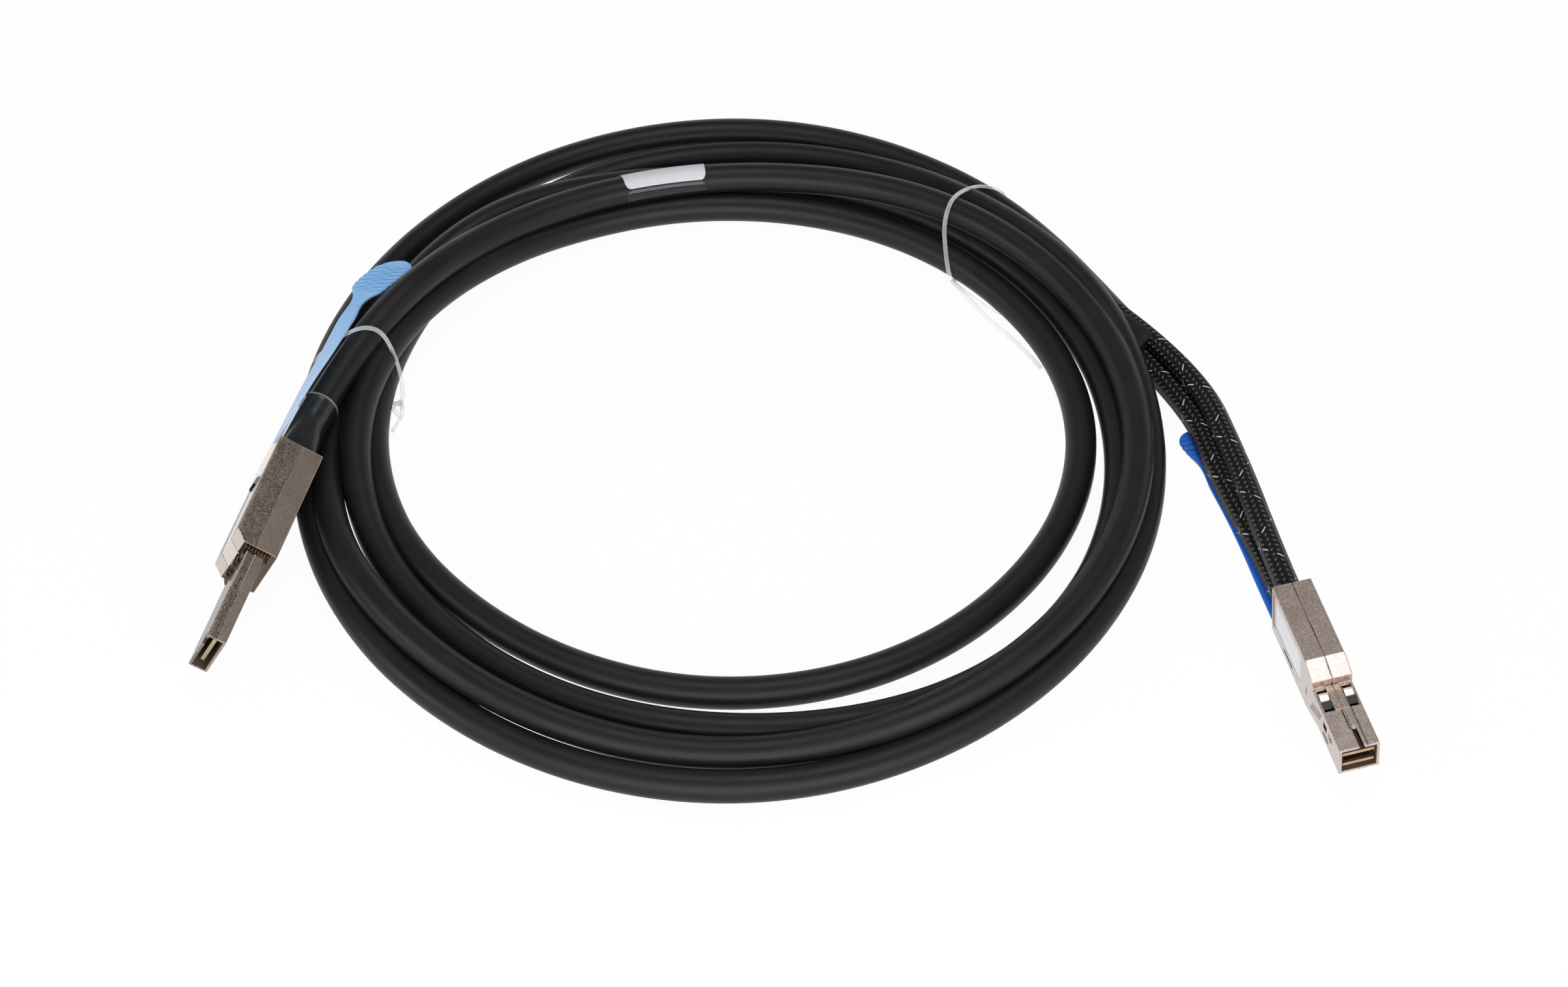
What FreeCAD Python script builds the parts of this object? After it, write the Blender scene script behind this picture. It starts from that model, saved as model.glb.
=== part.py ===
import FreeCAD, Part
import Sketcher
import math
import os
import re

# Mini SAS HD cable: a round cable wound in a flat coil, a wide plug on one end and, on two braided legs, an HD plug.
# Sizes in millimetres, angles in degrees, +Z up. The object lies on z = 0.
sizes = {
    # coil of cable
    "coil_centre_x": -10.33,
    "coil_centre_y": 33.94,
    "cable_radius": 4.3,
    "ring_low_height": 8.8,
    "ring_high_height": 15.9,
    "ring_outer_across": 118.0,
    "ring_outer_along": 125.0,
    "ring_inner_across": 94.5,
    "ring_inner_along": 88.0,
    "ring_step": 9.0,
    "ring_round": 3.2,
    # wide plug: pose, then body
    "wide_yaw": 255.2,
    "wide_pitch": 3.5,
    "wide_roll": 62.5,
    "wide_from_coil_x": -120.1,
    "wide_from_coil_y": -22.7,
    "wide_lift": 14.15,
    "wide_length": 34.8,
    "wide_width": 21.0,
    "wide_depth": 12.5,
    "wide_wall": 1.2,
    "wide_chamfer_run": 2.9,
    "wide_chamfer_drop": 3.1,
    "wide_nose_length": 28.7,
    "wide_nose_width": 17.8,
    "wide_nose_depth": 5.2,
    "wide_nose_drop": 1.1,
    "wide_nose_wall": 0.75,
    "wide_edge_round": 0.45,
    "wide_card_width": 13.2,
    "wide_card_thickness": 1.0,
    "wide_card_recess": 1.6,
    "wide_card_rear": 12.0,
    "wide_block_start": 15.0,
    "wide_boss_radius": 1.6,
    "wide_screw_inset": 6.4,
    "wide_screw_edge": 2.1,
    # latch and boot of the wide plug
    "latch_width": 8.4,
    "latch_start": 10.8,
    "latch_thickness": 0.45,
    "latch_recess": 0.8,
    "latch_side_gap": 0.3,
    "pin_radius": 0.45,
    "pin_gap": 0.12,
    "pin_x": 13.2,
    "pin_depth": 1.05,
    "collar_thickness": 0.85,
    "collar_length": 1.0,
    "hook_clear": 0.3,
    "finger_length": 1.9,
    "finger_pitch": 1.2,
    "finger_slot": 0.4,
    "boot_length": 13.0,
    "boot_half_width": 6.6,
    "boot_wall": 0.55,
    "crimp_wall": 0.55,
    "crimp_length": 5.5,
    "crimp_gap": 0.15,
    # HD plug: pose, then body
    "hd_yaw": -78.1,
    "hd_pitch": -2.8,
    "hd_roll": 6.0,
    "hd_from_coil_x": 146.4,
    "hd_from_coil_y": -67.4,
    "hd_lift": 1.0,
    "hd_length": 25.9,
    "hd_width": 10.5,
    "hd_height": 16.7,
    "hd_wall": 1.1,
    "hd_chamfer_run": 5.8,
    "hd_chamfer_drop": 2.0,
    "hd_total_length": 52.4,
    "hd_nose_floor": 3.1,
    "hd_nose_height": 9.0,
    "hd_nose_wall": 0.8,
    "hd_slope_start": 26.0,
    "hd_slope_end": 36.9,
    "hd_edge_round": 0.45,
    "hd_card_width": 8.2,
    "hd_card_thickness": 1.0,
    "hd_card_spacing": 3.8,
    "hd_card_middle": 7.3,
    "hd_card_recess": 0.8,
    "hd_card_inset": 5.9,
    "leg_radius": 3.0,
    "leg_spacing": 6.8,
    "lower_leg_height": 4.75,
    "leg_crimp_wall": 0.35,
    "hd_pin_inset": 5.4,
    "hd_pin_z": 12.2,
    "hd_arm_z": 10.6,
    "hd_arm_thickness": 0.45,
    "hd_label_thickness": 0.15,
    "hd_label_recess": 0.2,
    # pull tabs
    "tab_thickness": 1.2,
    "tab_width": 5.0,
    "grip_width": 9.2,
    "hd_tab_thickness": 1.0,
    "hd_tab_width": 8.4,
    # small pieces on the cable
    "pad_height": 0.06,
    "tie_thickness": 0.9,
    "tie_width": 1.8,
    "label_length": 23.0,
    "label_width": 9.0,
    "label_thickness": 0.2,
}

doc = FreeCAD.newDocument("mini_sas_hd_cable")
sheet = doc.addObject("Spreadsheet::Sheet", "Sizes")
for row, (alias, number) in enumerate(sizes.items(), start=1):
    sheet.set("A%d" % row, alias)
    sheet.set("B%d" % row, str(number))
    sheet.setAlias("B%d" % row, alias)
doc.recompute()

word = re.compile(r"[A-Za-z_]+")
axis_turn = {
    "x": FreeCAD.Rotation(FreeCAD.Vector(0, 1, 0), 90),
    "y": FreeCAD.Rotation(FreeCAD.Vector(1, 0, 0), -90),
    "z": FreeCAD.Rotation(),
}
finished = []


def value(alias):
    return float(sheet.get(alias))


def bind(item, name, formula):
    text = word.sub(lambda m: "Sizes." + m.group(0) if m.group(0) in sizes else m.group(0), str(formula))
    item.setExpression(name, text)


def put(item, at):
    for letter, formula in zip("xyz", at):
        bind(item, "Placement.Base." + letter, formula)
    return item


def box(name, size, at):
    item = doc.addObject("Part::Box", name)
    for side, formula in zip(("Length", "Width", "Height"), size):
        bind(item, side, formula)
    return put(item, at)


def centred(name, length, width, height, x, z, y="0"):
    return box(name, (length, width, height), (x, "%s - (%s) / 2" % (y, width), z))


def rod(name, radius, length, at, axis):
    item = doc.addObject("Part::Cylinder", name)
    bind(item, "Radius", radius)
    bind(item, "Height", length)
    item.Placement = FreeCAD.Placement(FreeCAD.Vector(0, 0, 0), axis_turn[axis])
    return put(item, at)


def number_of(formula):
    sheet.set("D1", "=" + str(formula))
    sheet.recompute()
    return float(sheet.get("D1"))


def profile(name, corners, width):
    # side outline in the XZ plane, drawn as a fully bound sketch and padded both ways along Y
    body = doc.addObject("PartDesign::Body", name)
    sketch = body.newObject("Sketcher::SketchObject", name + "_outline")
    plane = [item for item in body.Origin.OriginFeatures if item.Role == "XZ_Plane"][0]
    sketch.AttachmentSupport = [(plane, "")]
    sketch.MapMode = "FlatFace"
    points = [FreeCAD.Vector(number_of(along), number_of(up), 0) for along, up in corners]
    count = len(points)
    for i in range(count):
        sketch.addGeometry(Part.LineSegment(points[i], points[(i + 1) % count]), False)
    for i in range(count):
        sketch.addConstraint(Sketcher.Constraint("Coincident", i, 2, (i + 1) % count, 1))
    for i, (along, up) in enumerate(corners):
        first = sketch.addConstraint(Sketcher.Constraint("DistanceX", -1, 1, i, 1, points[i].x))
        bind(sketch, "Constraints[%d]" % first, along)
        second = sketch.addConstraint(Sketcher.Constraint("DistanceY", -1, 1, i, 1, points[i].y))
        bind(sketch, "Constraints[%d]" % second, up)
    pad = body.newObject("PartDesign::Pad", name + "_pad")
    pad.Profile = sketch
    pad.Midplane = True
    bind(pad, "Length", width)
    return body


def fuse(name, items):
    whole = doc.addObject("Part::MultiFuse", name)
    whole.Shapes = items
    return whole


def cut(name, base, tools):
    result = doc.addObject("Part::Cut", name)
    result.Base = base
    result.Tool = tools[0] if len(tools) == 1 else fuse(name + "_tools", tools)
    return result


def rounded(name, base, radius, keep):
    doc.recompute()
    result = doc.addObject("Part::Fillet", name)
    result.Base = base
    chosen = [i for i, edge in enumerate(base.Shape.Edges, start=1) if keep(edge)]
    result.Edges = [(i, value(radius), value(radius)) for i in chosen]
    return result


def along_x(edge, y, z):
    # true for a straight edge along X at distance y from the middle plane and height z
    middle = edge.BoundBox.Center
    flat = edge.BoundBox.YLength < 0.01 and edge.BoundBox.ZLength < 0.01
    return flat and abs(abs(middle.y) - y) < 0.01 and abs(middle.z - z) < 0.01


def solid(name, shape):
    item = doc.addObject("Part::Feature", name)
    item.Shape = shape
    return item


def group(name, items):
    bundle = doc.addObject("Part::Compound", name)
    bundle.Links = items
    return bundle


def finish(item, label, placement=None):
    if item.TypeId in ("Part::Box", "Part::Cylinder"):
        item = group(label + "_node", [item])
    item.Label = label
    if placement is not None:
        item.Placement = placement
    finished.append(item)


def pose(prefix):
    place = FreeCAD.Vector(
        value("coil_centre_x") + value(prefix + "_from_coil_x"),
        value("coil_centre_y") + value(prefix + "_from_coil_y"),
        value(prefix + "_lift"),
    )
    return FreeCAD.Placement(
        place, FreeCAD.Rotation(value(prefix + "_yaw"), value(prefix + "_pitch"), value(prefix + "_roll"))
    )


def route(points):
    # straight runs joined by tangent arcs; each arc takes 0.45 of the shorter run beside it
    edges = []
    start = points[0]
    for before, corner, after in zip(points, points[1:], points[2:]):
        into = (corner - before).normalize()
        out = (after - corner).normalize()
        turn = math.acos(max(-1.0, min(1.0, into.dot(out))))
        reach = 0.45 * min((corner - before).Length, (after - corner).Length)
        radius = reach / math.tan(turn / 2)
        first = corner - into * reach
        last = corner + out * reach
        inward = (out - into).normalize()
        middle = corner + inward * (radius / math.cos(turn / 2) - radius)
        edges.append(Part.makeLine(start, first))
        edges.append(Part.Arc(first, middle, last).toShape())
        print("  turn %.1f deg, radius %.1f mm" % (math.degrees(turn), radius))
        start = last
    edges.append(Part.makeLine(start, points[-1]))
    return Part.Wire(edges)


def tube(name, points, radius):
    wire = route(points)
    ring = Part.Wire(Part.makeCircle(radius, points[0], points[1] - points[0]))
    shape = wire.makePipe(Part.Face(ring))
    shape = shape if shape.ShapeType == "Solid" else Part.Solid(shape.Shells[0])
    drawn = math.pi * radius ** 2 * wire.Length
    print("%s: length %.1f mm, volume ratio %.4f" % (name, wire.Length, shape.Volume / drawn))
    return solid(name, shape)


def strip(name, stations):
    # flat strip lofted through rectangles; a station is (centre, wide direction, width, thickness)
    wires = []
    for i, (centre, wide, width, thickness) in enumerate(stations):
        before = stations[max(i - 1, 0)][0]
        after = stations[min(i + 1, len(stations) - 1)][0]
        ahead = (after - before).normalize()
        across = (wide - ahead * wide.dot(ahead)).normalize()
        normal = ahead.cross(across)
        half = across * (width / 2)
        thick = normal * (thickness / 2)
        corners = [centre - half - thick, centre + half - thick, centre + half + thick, centre - half + thick]
        wires.append(Part.makePolygon(corners + corners[:1]))
    return solid(name, Part.makeLoft(wires, True, True))


def oval(x, half_width, half_height):
    far = FreeCAD.Vector(x, half_width, 0)
    high = FreeCAD.Vector(x, 0, half_height)
    return Part.Wire(Part.Ellipse(far, high, FreeCAD.Vector(x, 0, 0)).toShape())


vector = FreeCAD.Vector
wide_pose = pose("wide")
hd_pose = pose("hd")

# wide plug, local axes: X out of the nose, Y across the wide side, Z out of the latch face
boot_radius = value("cable_radius") + value("boot_wall")
boot_half = value("boot_half_width")
boot_end = value("boot_length")
boot_shape = Part.makeLoft(
    [
        oval(value("wide_wall"), boot_half, boot_radius),
        oval(0, boot_half, boot_radius),
        oval(-0.4 * boot_end, 0.6 * boot_half + 0.4 * boot_radius, boot_radius),
        oval(-0.75 * boot_end, boot_radius + 0.1, boot_radius),
        oval(-boot_end, boot_radius + 0.02, boot_radius),
    ],
    True,
)
boot_outer = solid("boot_outer", boot_shape)
boot_bore = rod("boot_bore", "cable_radius", "boot_length + 4", ("-boot_length - 2", "0", "0"), "x")
boot = cut("boot_body", boot_outer, [boot_bore])

nose_span = ("wide_nose_length", "wide_nose_width")
nose_hole = centred(
    "nose_hole", "wide_nose_length + wide_chamfer_run + 2", "wide_nose_width - 2 * wide_nose_wall",
    "wide_nose_depth - 2 * wide_nose_wall", "wide_length - wide_chamfer_run - 1",
    "-wide_nose_drop - wide_nose_depth / 2 + wide_nose_wall",
)
key_notch = box("key_notch", ("2.6", "3.4", "wide_nose_depth"),
                ("wide_length + wide_nose_length - 2.4", "wide_nose_width / 2 - 5.2", "-wide_nose_drop + 1"))
screws = []
for number, side in enumerate((-1, 1)):
    y = "%d * (wide_width / 2 - wide_screw_edge)" % side
    shaft = rod("wide_screw_shaft_%d" % number, "0.7", "wide_depth / 2 + 3.6", ("wide_length - wide_screw_inset", y, "-wide_depth / 2"), "z")
    head = rod("wide_screw_head_%d" % number, "1.25", "0.75", ("wide_length - wide_screw_inset", y, "-wide_depth / 2 + 0.1"), "z")
    screws.append(fuse("wide_screw_%d" % number, [shaft, head]))
screw_group = group("wide_screw_group", screws)
screw_mouths = [
    rod("wide_screw_mouth_%d" % n, "1.25", "0.3", ("wide_length - wide_screw_inset", "%d * (wide_width / 2 - wide_screw_edge)" % s, "-wide_depth / 2 - 0.15"), "z")
    for n, s in enumerate((-1, 1))
]
latch_pin = rod("wide_latch_pin", "pin_radius", "latch_width + 2 * latch_side_gap + 2",
                ("pin_x", "-latch_width / 2 - latch_side_gap - 1", "wide_depth / 2 - pin_depth"), "y")

crimp_room = rod("crimp_room", "cable_radius + crimp_wall + crimp_gap", "crimp_length + 1", ("wide_wall + 0.7", "0", "0"), "x")
top_block = profile("top_block", [
    ("0", "0"), ("wide_length", "0"), ("wide_length", "wide_depth / 2 - wide_chamfer_drop"),
    ("wide_length - wide_chamfer_run", "wide_depth / 2"), ("0", "wide_depth / 2")], "wide_width")
top_nose = centred("top_nose", *nose_span, "wide_nose_depth / 2", "wide_length", "-wide_nose_drop")
top_outer = fuse("top_outer", [top_block, top_nose])
top_round = rounded("top_round", top_outer, "wide_edge_round", lambda edge: (
    along_x(edge, value("wide_width") / 2, value("wide_depth") / 2)
    or along_x(edge, value("wide_nose_width") / 2, value("wide_nose_depth") / 2 - value("wide_nose_drop"))))
top_room = centred("top_room", "wide_length - wide_chamfer_run - wide_wall - 0.5", "wide_width - 2 * wide_wall",
                   "wide_depth / 2 - wide_wall", "wide_wall", "0")
top_bosses = [
    rod("top_boss_%d" % n, "wide_boss_radius", "wide_depth / 2 - wide_wall + 0.2",
        ("wide_length - wide_screw_inset", "%d * (wide_width / 2 - wide_screw_edge)" % s, "0"), "z")
    for n, s in enumerate((-1, 1))
]
# the latch's front end keeps clear of the collar, and its bed in the shell runs below it
hook_low = "(wide_nose_depth / 2 - wide_nose_drop + collar_thickness + hook_clear)"
bed_low = "(%s + latch_thickness + 0.05 - latch_recess)" % hook_low
latch_bed = profile("latch_bed", [
    ("latch_start - 0.3", "wide_depth / 2 - latch_recess"),
    ("wide_length - wide_chamfer_run", "wide_depth / 2 - latch_recess"),
    ("wide_length", bed_low),
    ("wide_length + wide_chamfer_run", "2 * %s - wide_depth / 2 + latch_recess" % bed_low),
    ("wide_length + wide_chamfer_run", "wide_depth / 2 + 2"),
    ("latch_start - 0.3", "wide_depth / 2 + 2")], "latch_width + 2 * latch_side_gap")
strap_bed = centred("strap_bed", "latch_start + 2", "tab_width + 0.7", "latch_recess + 1", "-1",
                    "wide_depth / 2 - latch_recess")
pin_well = centred("pin_well", "3.4", "latch_width + 2 * latch_side_gap", "wide_wall + 1.4", "pin_x - 1.7",
                   "wide_depth / 2 - wide_wall - 0.4")
top_hollow = cut("top_hollow", top_round, [top_room])
top_with_bosses = fuse("top_with_bosses", [top_hollow] + top_bosses)
top_shell = cut("top_shell", top_with_bosses,
                [nose_hole, key_notch, latch_bed, strap_bed, pin_well, latch_pin, boot_outer, crimp_room] + screws)

base_block = centred("base_block", "wide_length", "wide_width", "wide_depth / 2", "0", "-wide_depth / 2")
base_nose = centred("base_nose", *nose_span, "wide_nose_depth / 2", "wide_length",
                    "-wide_nose_drop - wide_nose_depth / 2")
base_outer = fuse("base_outer", [base_block, base_nose])
base_round = rounded("base_round", base_outer, "wide_edge_round", lambda edge: (
    along_x(edge, value("wide_width") / 2, -value("wide_depth") / 2)
    or along_x(edge, value("wide_nose_width") / 2, -value("wide_nose_depth") / 2 - value("wide_nose_drop"))))
base_room = centred("base_room", "wide_length - 2 * wide_wall", "wide_width - 2 * wide_wall",
                    "wide_depth / 2 - wide_wall", "wide_wall", "-wide_depth / 2 + wide_wall")
base_bosses = [
    rod("base_boss_%d" % n, "wide_boss_radius", "wide_depth / 2 - wide_wall + 0.2",
        ("wide_length - wide_screw_inset", "%d * (wide_width / 2 - wide_screw_edge)" % s, "-wide_depth / 2 + wide_wall - 0.2"), "z")
    for n, s in enumerate((-1, 1))
]
base_hollow = cut("base_hollow", base_round, [base_room])
base_with_bosses = fuse("base_with_bosses", [base_hollow] + base_bosses)
base_shell = cut("base_shell", base_with_bosses, [nose_hole, boot_outer, crimp_room] + screws + screw_mouths)

card = centred("wide_card", "wide_nose_length + wide_card_rear - wide_card_recess", "wide_card_width",
               "wide_card_thickness", "wide_length - wide_card_rear", "-wide_nose_drop - wide_card_thickness / 2")
block_body = centred("wire_block_body", "wide_length - wide_card_rear - wide_block_start + 3.2",
                     "wide_width - 2 * wide_wall - 0.2", "wide_depth - 2 * wide_wall - 0.1", "wide_block_start",
                     "-wide_depth / 2 + wide_wall")
wire_block = cut("wire_block", block_body, [card])
pads = []
for i in range(13):
    for number, z in enumerate(("wide_card_thickness / 2", "-wide_card_thickness / 2 - pad_height")):
        pads.append(box("wide_pad_%d_%d" % (i, number), ("5.2", "0.55", "pad_height"), (
            "wide_length + wide_nose_length - wide_card_recess - 5.8",
            "%.2f - 0.275" % (0.9 * (i - 6)), "-wide_nose_drop + " + z)))
wide_pads = group("wide_pads", pads)

collar_outer = centred("collar_outer", "collar_length", "wide_nose_width + 2 * collar_thickness",
                       "wide_nose_depth + 2 * collar_thickness", "wide_length",
                       "-wide_nose_drop - wide_nose_depth / 2 - collar_thickness")
ridges = []
for number, sign in enumerate(("", "-")):
    face = "-wide_nose_drop + %s1 * (wide_nose_depth / 2" % sign
    rise = "%s + %%s)" % face
    ridges.append(profile("finger_ridge_%d" % number, [
        ("wide_length + 0.5", rise % "0"), ("wide_length + 0.5", rise % "collar_thickness * 0.9"),
        ("wide_length + collar_length + 0.9", rise % "collar_thickness * 0.85"),
        ("wide_length + collar_length + finger_length", rise % "0.15"),
        ("wide_length + collar_length + finger_length", rise % "0")], "wide_nose_width - 0.6"))
nose_plug = centred("nose_plug", *nose_span, "wide_nose_depth", "wide_length", "-wide_nose_drop - wide_nose_depth / 2")
slots = [
    box("finger_slot_%d" % i, ("finger_length + 1", "finger_slot", "wide_depth"), (
        "wide_length + collar_length", "%.1f * finger_pitch - finger_slot / 2" % (i - 6.5), "-wide_depth / 2 - 1"))
    for i in range(14)
]
collar = cut("collar", fuse("collar_whole", [collar_outer] + ridges), [nose_plug] + slots)

plate = profile("latch_plate", [
    ("latch_start", "wide_depth / 2 - latch_thickness - 0.05"),
    ("wide_length - wide_chamfer_run", "wide_depth / 2 - latch_thickness - 0.05"),
    ("wide_length", hook_low),
    ("wide_length", hook_low + " + latch_thickness"),
    ("wide_length - wide_chamfer_run", "wide_depth / 2 - 0.05"),
    ("latch_start", "wide_depth / 2 - 0.05")], "latch_width")
ear = centred("latch_ear", "2", "latch_width - 1", "1.4", "pin_x - 1", "wide_depth / 2 - 1.75")
hooks = []
for number, y in enumerate(("-3.1", "3.1")):
    arm = centred("latch_arm_%d" % number, "3.6", "1.8", "latch_thickness", "wide_length", hook_low, y)
    tip = centred("latch_tip_%d" % number, "0.6", "1.8", "1.1", "wide_length + 3.1", hook_low + " - 0.7", y)
    hooks += [arm, tip]
pin_hole = rod("latch_pin_hole", "pin_radius + pin_gap", "latch_width + 2",
               ("pin_x", "-latch_width / 2 - 1", "wide_depth / 2 - pin_depth"), "y")
latch = cut("wide_latch", fuse("latch_whole", [plate, ear] + hooks), [pin_hole])

crimp_outer = rod("crimp_outer", "cable_radius + crimp_wall", "crimp_length", ("wide_wall + 1.2", "0", "0"), "x")
crimp_bore = rod("crimp_bore", "cable_radius", "crimp_length + 2", ("wide_wall", "0", "0"), "x")
crimp = cut("wide_crimp", crimp_outer, [crimp_bore])

tab_rest = value("wide_depth") / 2 - value("latch_recess") + 0.1 + value("tab_thickness") / 2
tab_line = [
    (value("latch_start") - 0.9, 0.0, tab_rest, 0, 1.0), (0.0, 0.0, tab_rest, 0, 1.0),
    (-12.0, 1.6, 5.9, 4, 1.0), (-24.9, 2.6, 5.2, 15, 1.0), (-37.1, 2.8, 4.1, 28, 1.0),
    (-49.3, 2.9, 3.2, 42, 1.0), (-60.0, 2.1, 1.8, 54, 1.0), (-63.4, 2.0, 1.0, 57, 1.7),
    (-66.4, 2.0, 0.0, 59, 1.84), (-71.4, 2.2, -2.1, 61, 1.84), (-75.1, 2.5, -4.1, 62, 1.5),
    (-77.0, 2.7, -5.3, 62, 0.8),
]
tab_stations = []
for x, y, z, twist, share in tab_line:
    lean = math.radians(twist)
    across = vector(0, math.cos(lean), -math.sin(lean))
    tab_stations.append((vector(x, y, z), across, share * value("tab_width"), value("tab_thickness")))
wide_tab = strip("wide_tab", tab_stations)

# HD plug, local axes: X out of the nose, Y to the right seen from above, Z up from its underside
nose_top = "hd_nose_floor + hd_nose_height"
hd_full = profile("hd_full", [
    ("0", "0"), ("hd_slope_start", "0"), ("hd_slope_end", "hd_nose_floor"), ("hd_total_length", "hd_nose_floor"),
    ("hd_total_length", nose_top), ("hd_length + hd_chamfer_run", nose_top),
    ("hd_length + hd_chamfer_run", "hd_height - hd_chamfer_drop"), ("hd_length", "hd_height"),
    ("0", "hd_height")], "hd_width")
hd_round = rounded("hd_round", hd_full, "hd_edge_round", lambda edge: (
    along_x(edge, value("hd_width") / 2, value("hd_height")) or along_x(edge, value("hd_width") / 2, 0)
    or along_x(edge, value("hd_width") / 2, value("hd_nose_floor") + value("hd_nose_height"))))
hd_tools = [
    centred("hd_room", "hd_length + 1.6 - hd_wall", "hd_width - 2 * hd_wall", "hd_height - 2 * hd_wall - 0.2",
            "hd_wall", "hd_wall"),
    centred("hd_nose_room", "hd_total_length - hd_length", "hd_width - 2 * hd_nose_wall",
            "hd_nose_height - 2 * hd_nose_wall", "hd_length + 1", "hd_nose_floor + hd_nose_wall"),
    box("hd_key_slot", ("6", "1.4", "2"), ("hd_total_length - 5.8", "0", nose_top + " - 1")),
    box("hd_top_groove", ("14", "0.25", "1"), ("hd_total_length - 13.6", "2.1", nose_top + " - 0.15")),
    centred("hd_seam_body", "hd_length", "0.2", "1", "-0.1", "hd_height - 0.15"),
    centred("hd_seam_nose", "hd_total_length", "0.2", "1", "hd_length + hd_chamfer_run + 0.1", nose_top + " - 0.12"),
    centred("hd_tab_bed", "15", "hd_tab_width + 0.6", "1.6", "-1", "-1"),
    box("hd_label_bed", ("19.5", "1", "9.4"), ("3", "-hd_width / 2 - 1 + hd_label_recess", "4.7")),
    box("hd_side_slot", ("7", "1", "0.9"), ("9.5", "-hd_width / 2 - 0.5", "2.3")),
    rod("hd_pin_hole", "pin_radius", "hd_width - 1.2", ("hd_length - hd_pin_inset", "-hd_width / 2 + 0.6", "hd_pin_z"), "y"),
]
for number, y in enumerate(("-3.25", "3.25")):
    hd_tools.append(centred("hd_window_%d" % number, "7.4", "2.7", "2", "hd_length + hd_chamfer_run + 0.6",
                            nose_top + " - 1", y))
for number, z in enumerate(("lower_leg_height", "lower_leg_height + leg_spacing")):
    hd_tools.append(rod("leg_hole_%d" % number, "leg_radius", "hd_wall + 1", ("-0.5", "0", z), "x"))
for number, y in enumerate(("-hd_width / 2", "hd_width / 2")):
    for i in range(3):
        hd_tools.append(centred("vent_%d_%d" % (number, i), "0.6", "0.6", "3.6",
                                "hd_length + hd_chamfer_run + %.1f" % (1.6 + 1.5 * i), "5.6", y))
    for i in range(2):
        hd_tools.append(centred("side_port_%d_%d" % (number, i), "2.6", "0.6", "2.2",
                                "hd_length + hd_chamfer_run + %.1f" % (8.6 + 3.8 * i), "7.6", y))
hd_screws = []
for number, (x, z) in enumerate((("13.6", "hd_wall + 2.0"), ("13.6", "hd_height - hd_wall - 2.2"))):
    shaft = rod("hd_screw_shaft_%d" % number, "0.6", "hd_width - 0.8", (x, "-hd_width / 2 + 0.7", z), "y")
    head = rod("hd_screw_head_%d" % number, "1.1", "0.65", (x, "hd_width / 2 - 0.75", z), "y")
    hd_screws.append(fuse("hd_screw_%d" % number, [shaft, head]))
    hd_tools.append(hd_screws[-1])
    hd_tools.append(rod("hd_screw_mouth_%d" % number, "1.1", "0.5", (x, "hd_width / 2 - 0.2", z), "y"))
hd_screw_group = group("hd_screw_group", hd_screws)
hd_hollow = cut("hd_hollow", hd_round, hd_tools)
right_half = box("right_half", ("hd_total_length + 4", "hd_width", "hd_height + 4"), ("-2", "0", "-2"))
left_half = box("left_half", ("hd_total_length + 4", "hd_width", "hd_height + 4"), ("-2", "-hd_width", "-2"))
left_shell = cut("left_shell", hd_hollow, [right_half])
right_shell = cut("right_shell", hd_hollow, [left_half])

hd_cards = []
hd_pads = []
for number, sign in enumerate(("-", "+")):
    middle = "hd_card_middle %s hd_card_spacing / 2" % sign
    hd_cards.append(centred("hd_card_%d" % number, "hd_total_length - hd_card_recess - hd_length + hd_card_inset", "hd_card_width",
                            "hd_card_thickness", "hd_length - hd_card_inset", middle + " - hd_card_thickness / 2"))
    pads = []
    for i in range(9):
        for face, z in enumerate((" + hd_card_thickness / 2", " - hd_card_thickness / 2 - pad_height")):
            pads.append(box("hd_pad_%d_%d_%d" % (number, i, face), ("4.6", "0.45", "pad_height"), (
                "hd_total_length - hd_card_recess - 5.2", "%.2f - 0.225" % (0.75 * (i - 4)), middle + z)))
    hd_pads.append(group("hd_pads_%d" % number, pads))
spacer_body = centred("spacer_body", "9", "hd_width - 2 * hd_wall - 0.1", "hd_arm_z - 0.4 - hd_wall",
                      "hd_length - hd_card_inset - 3", "hd_wall")
spacer = cut("hd_spacer", spacer_body, hd_cards)
side_label = box("hd_side_label", ("19.3", "hd_label_thickness", "9.2"),
                 ("3.1", "-hd_width / 2 + hd_label_recess - hd_label_thickness", "4.8"))
leg_crimps = []
for number, z in enumerate(("lower_leg_height", "lower_leg_height + leg_spacing")):
    outer = rod("leg_crimp_outer_%d" % number, "leg_radius + leg_crimp_wall", "4.5", ("hd_wall + 0.8", "0", z), "x")
    bore = rod("leg_crimp_bore_%d" % number, "leg_radius", "6", ("hd_wall", "0", z), "x")
    leg_crimps.append(cut("leg_crimp_%d" % number, outer, [bore]))
crimp_group = group("leg_crimp_group", leg_crimps)
hd_pin = rod("hd_latch_pin", "pin_radius", "hd_width - 1.2", ("hd_length - hd_pin_inset", "-hd_width / 2 + 0.6", "hd_pin_z"), "y")
bar = centred("hd_latch_bar", "3", "8", "hd_arm_thickness", "hd_length - hd_pin_inset - 1.4", "hd_arm_z")
hd_ear = centred("hd_latch_ear", "2.2", "7.2", "2.4", "hd_length - hd_pin_inset - 1.1", "hd_arm_z")
arms = []
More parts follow.
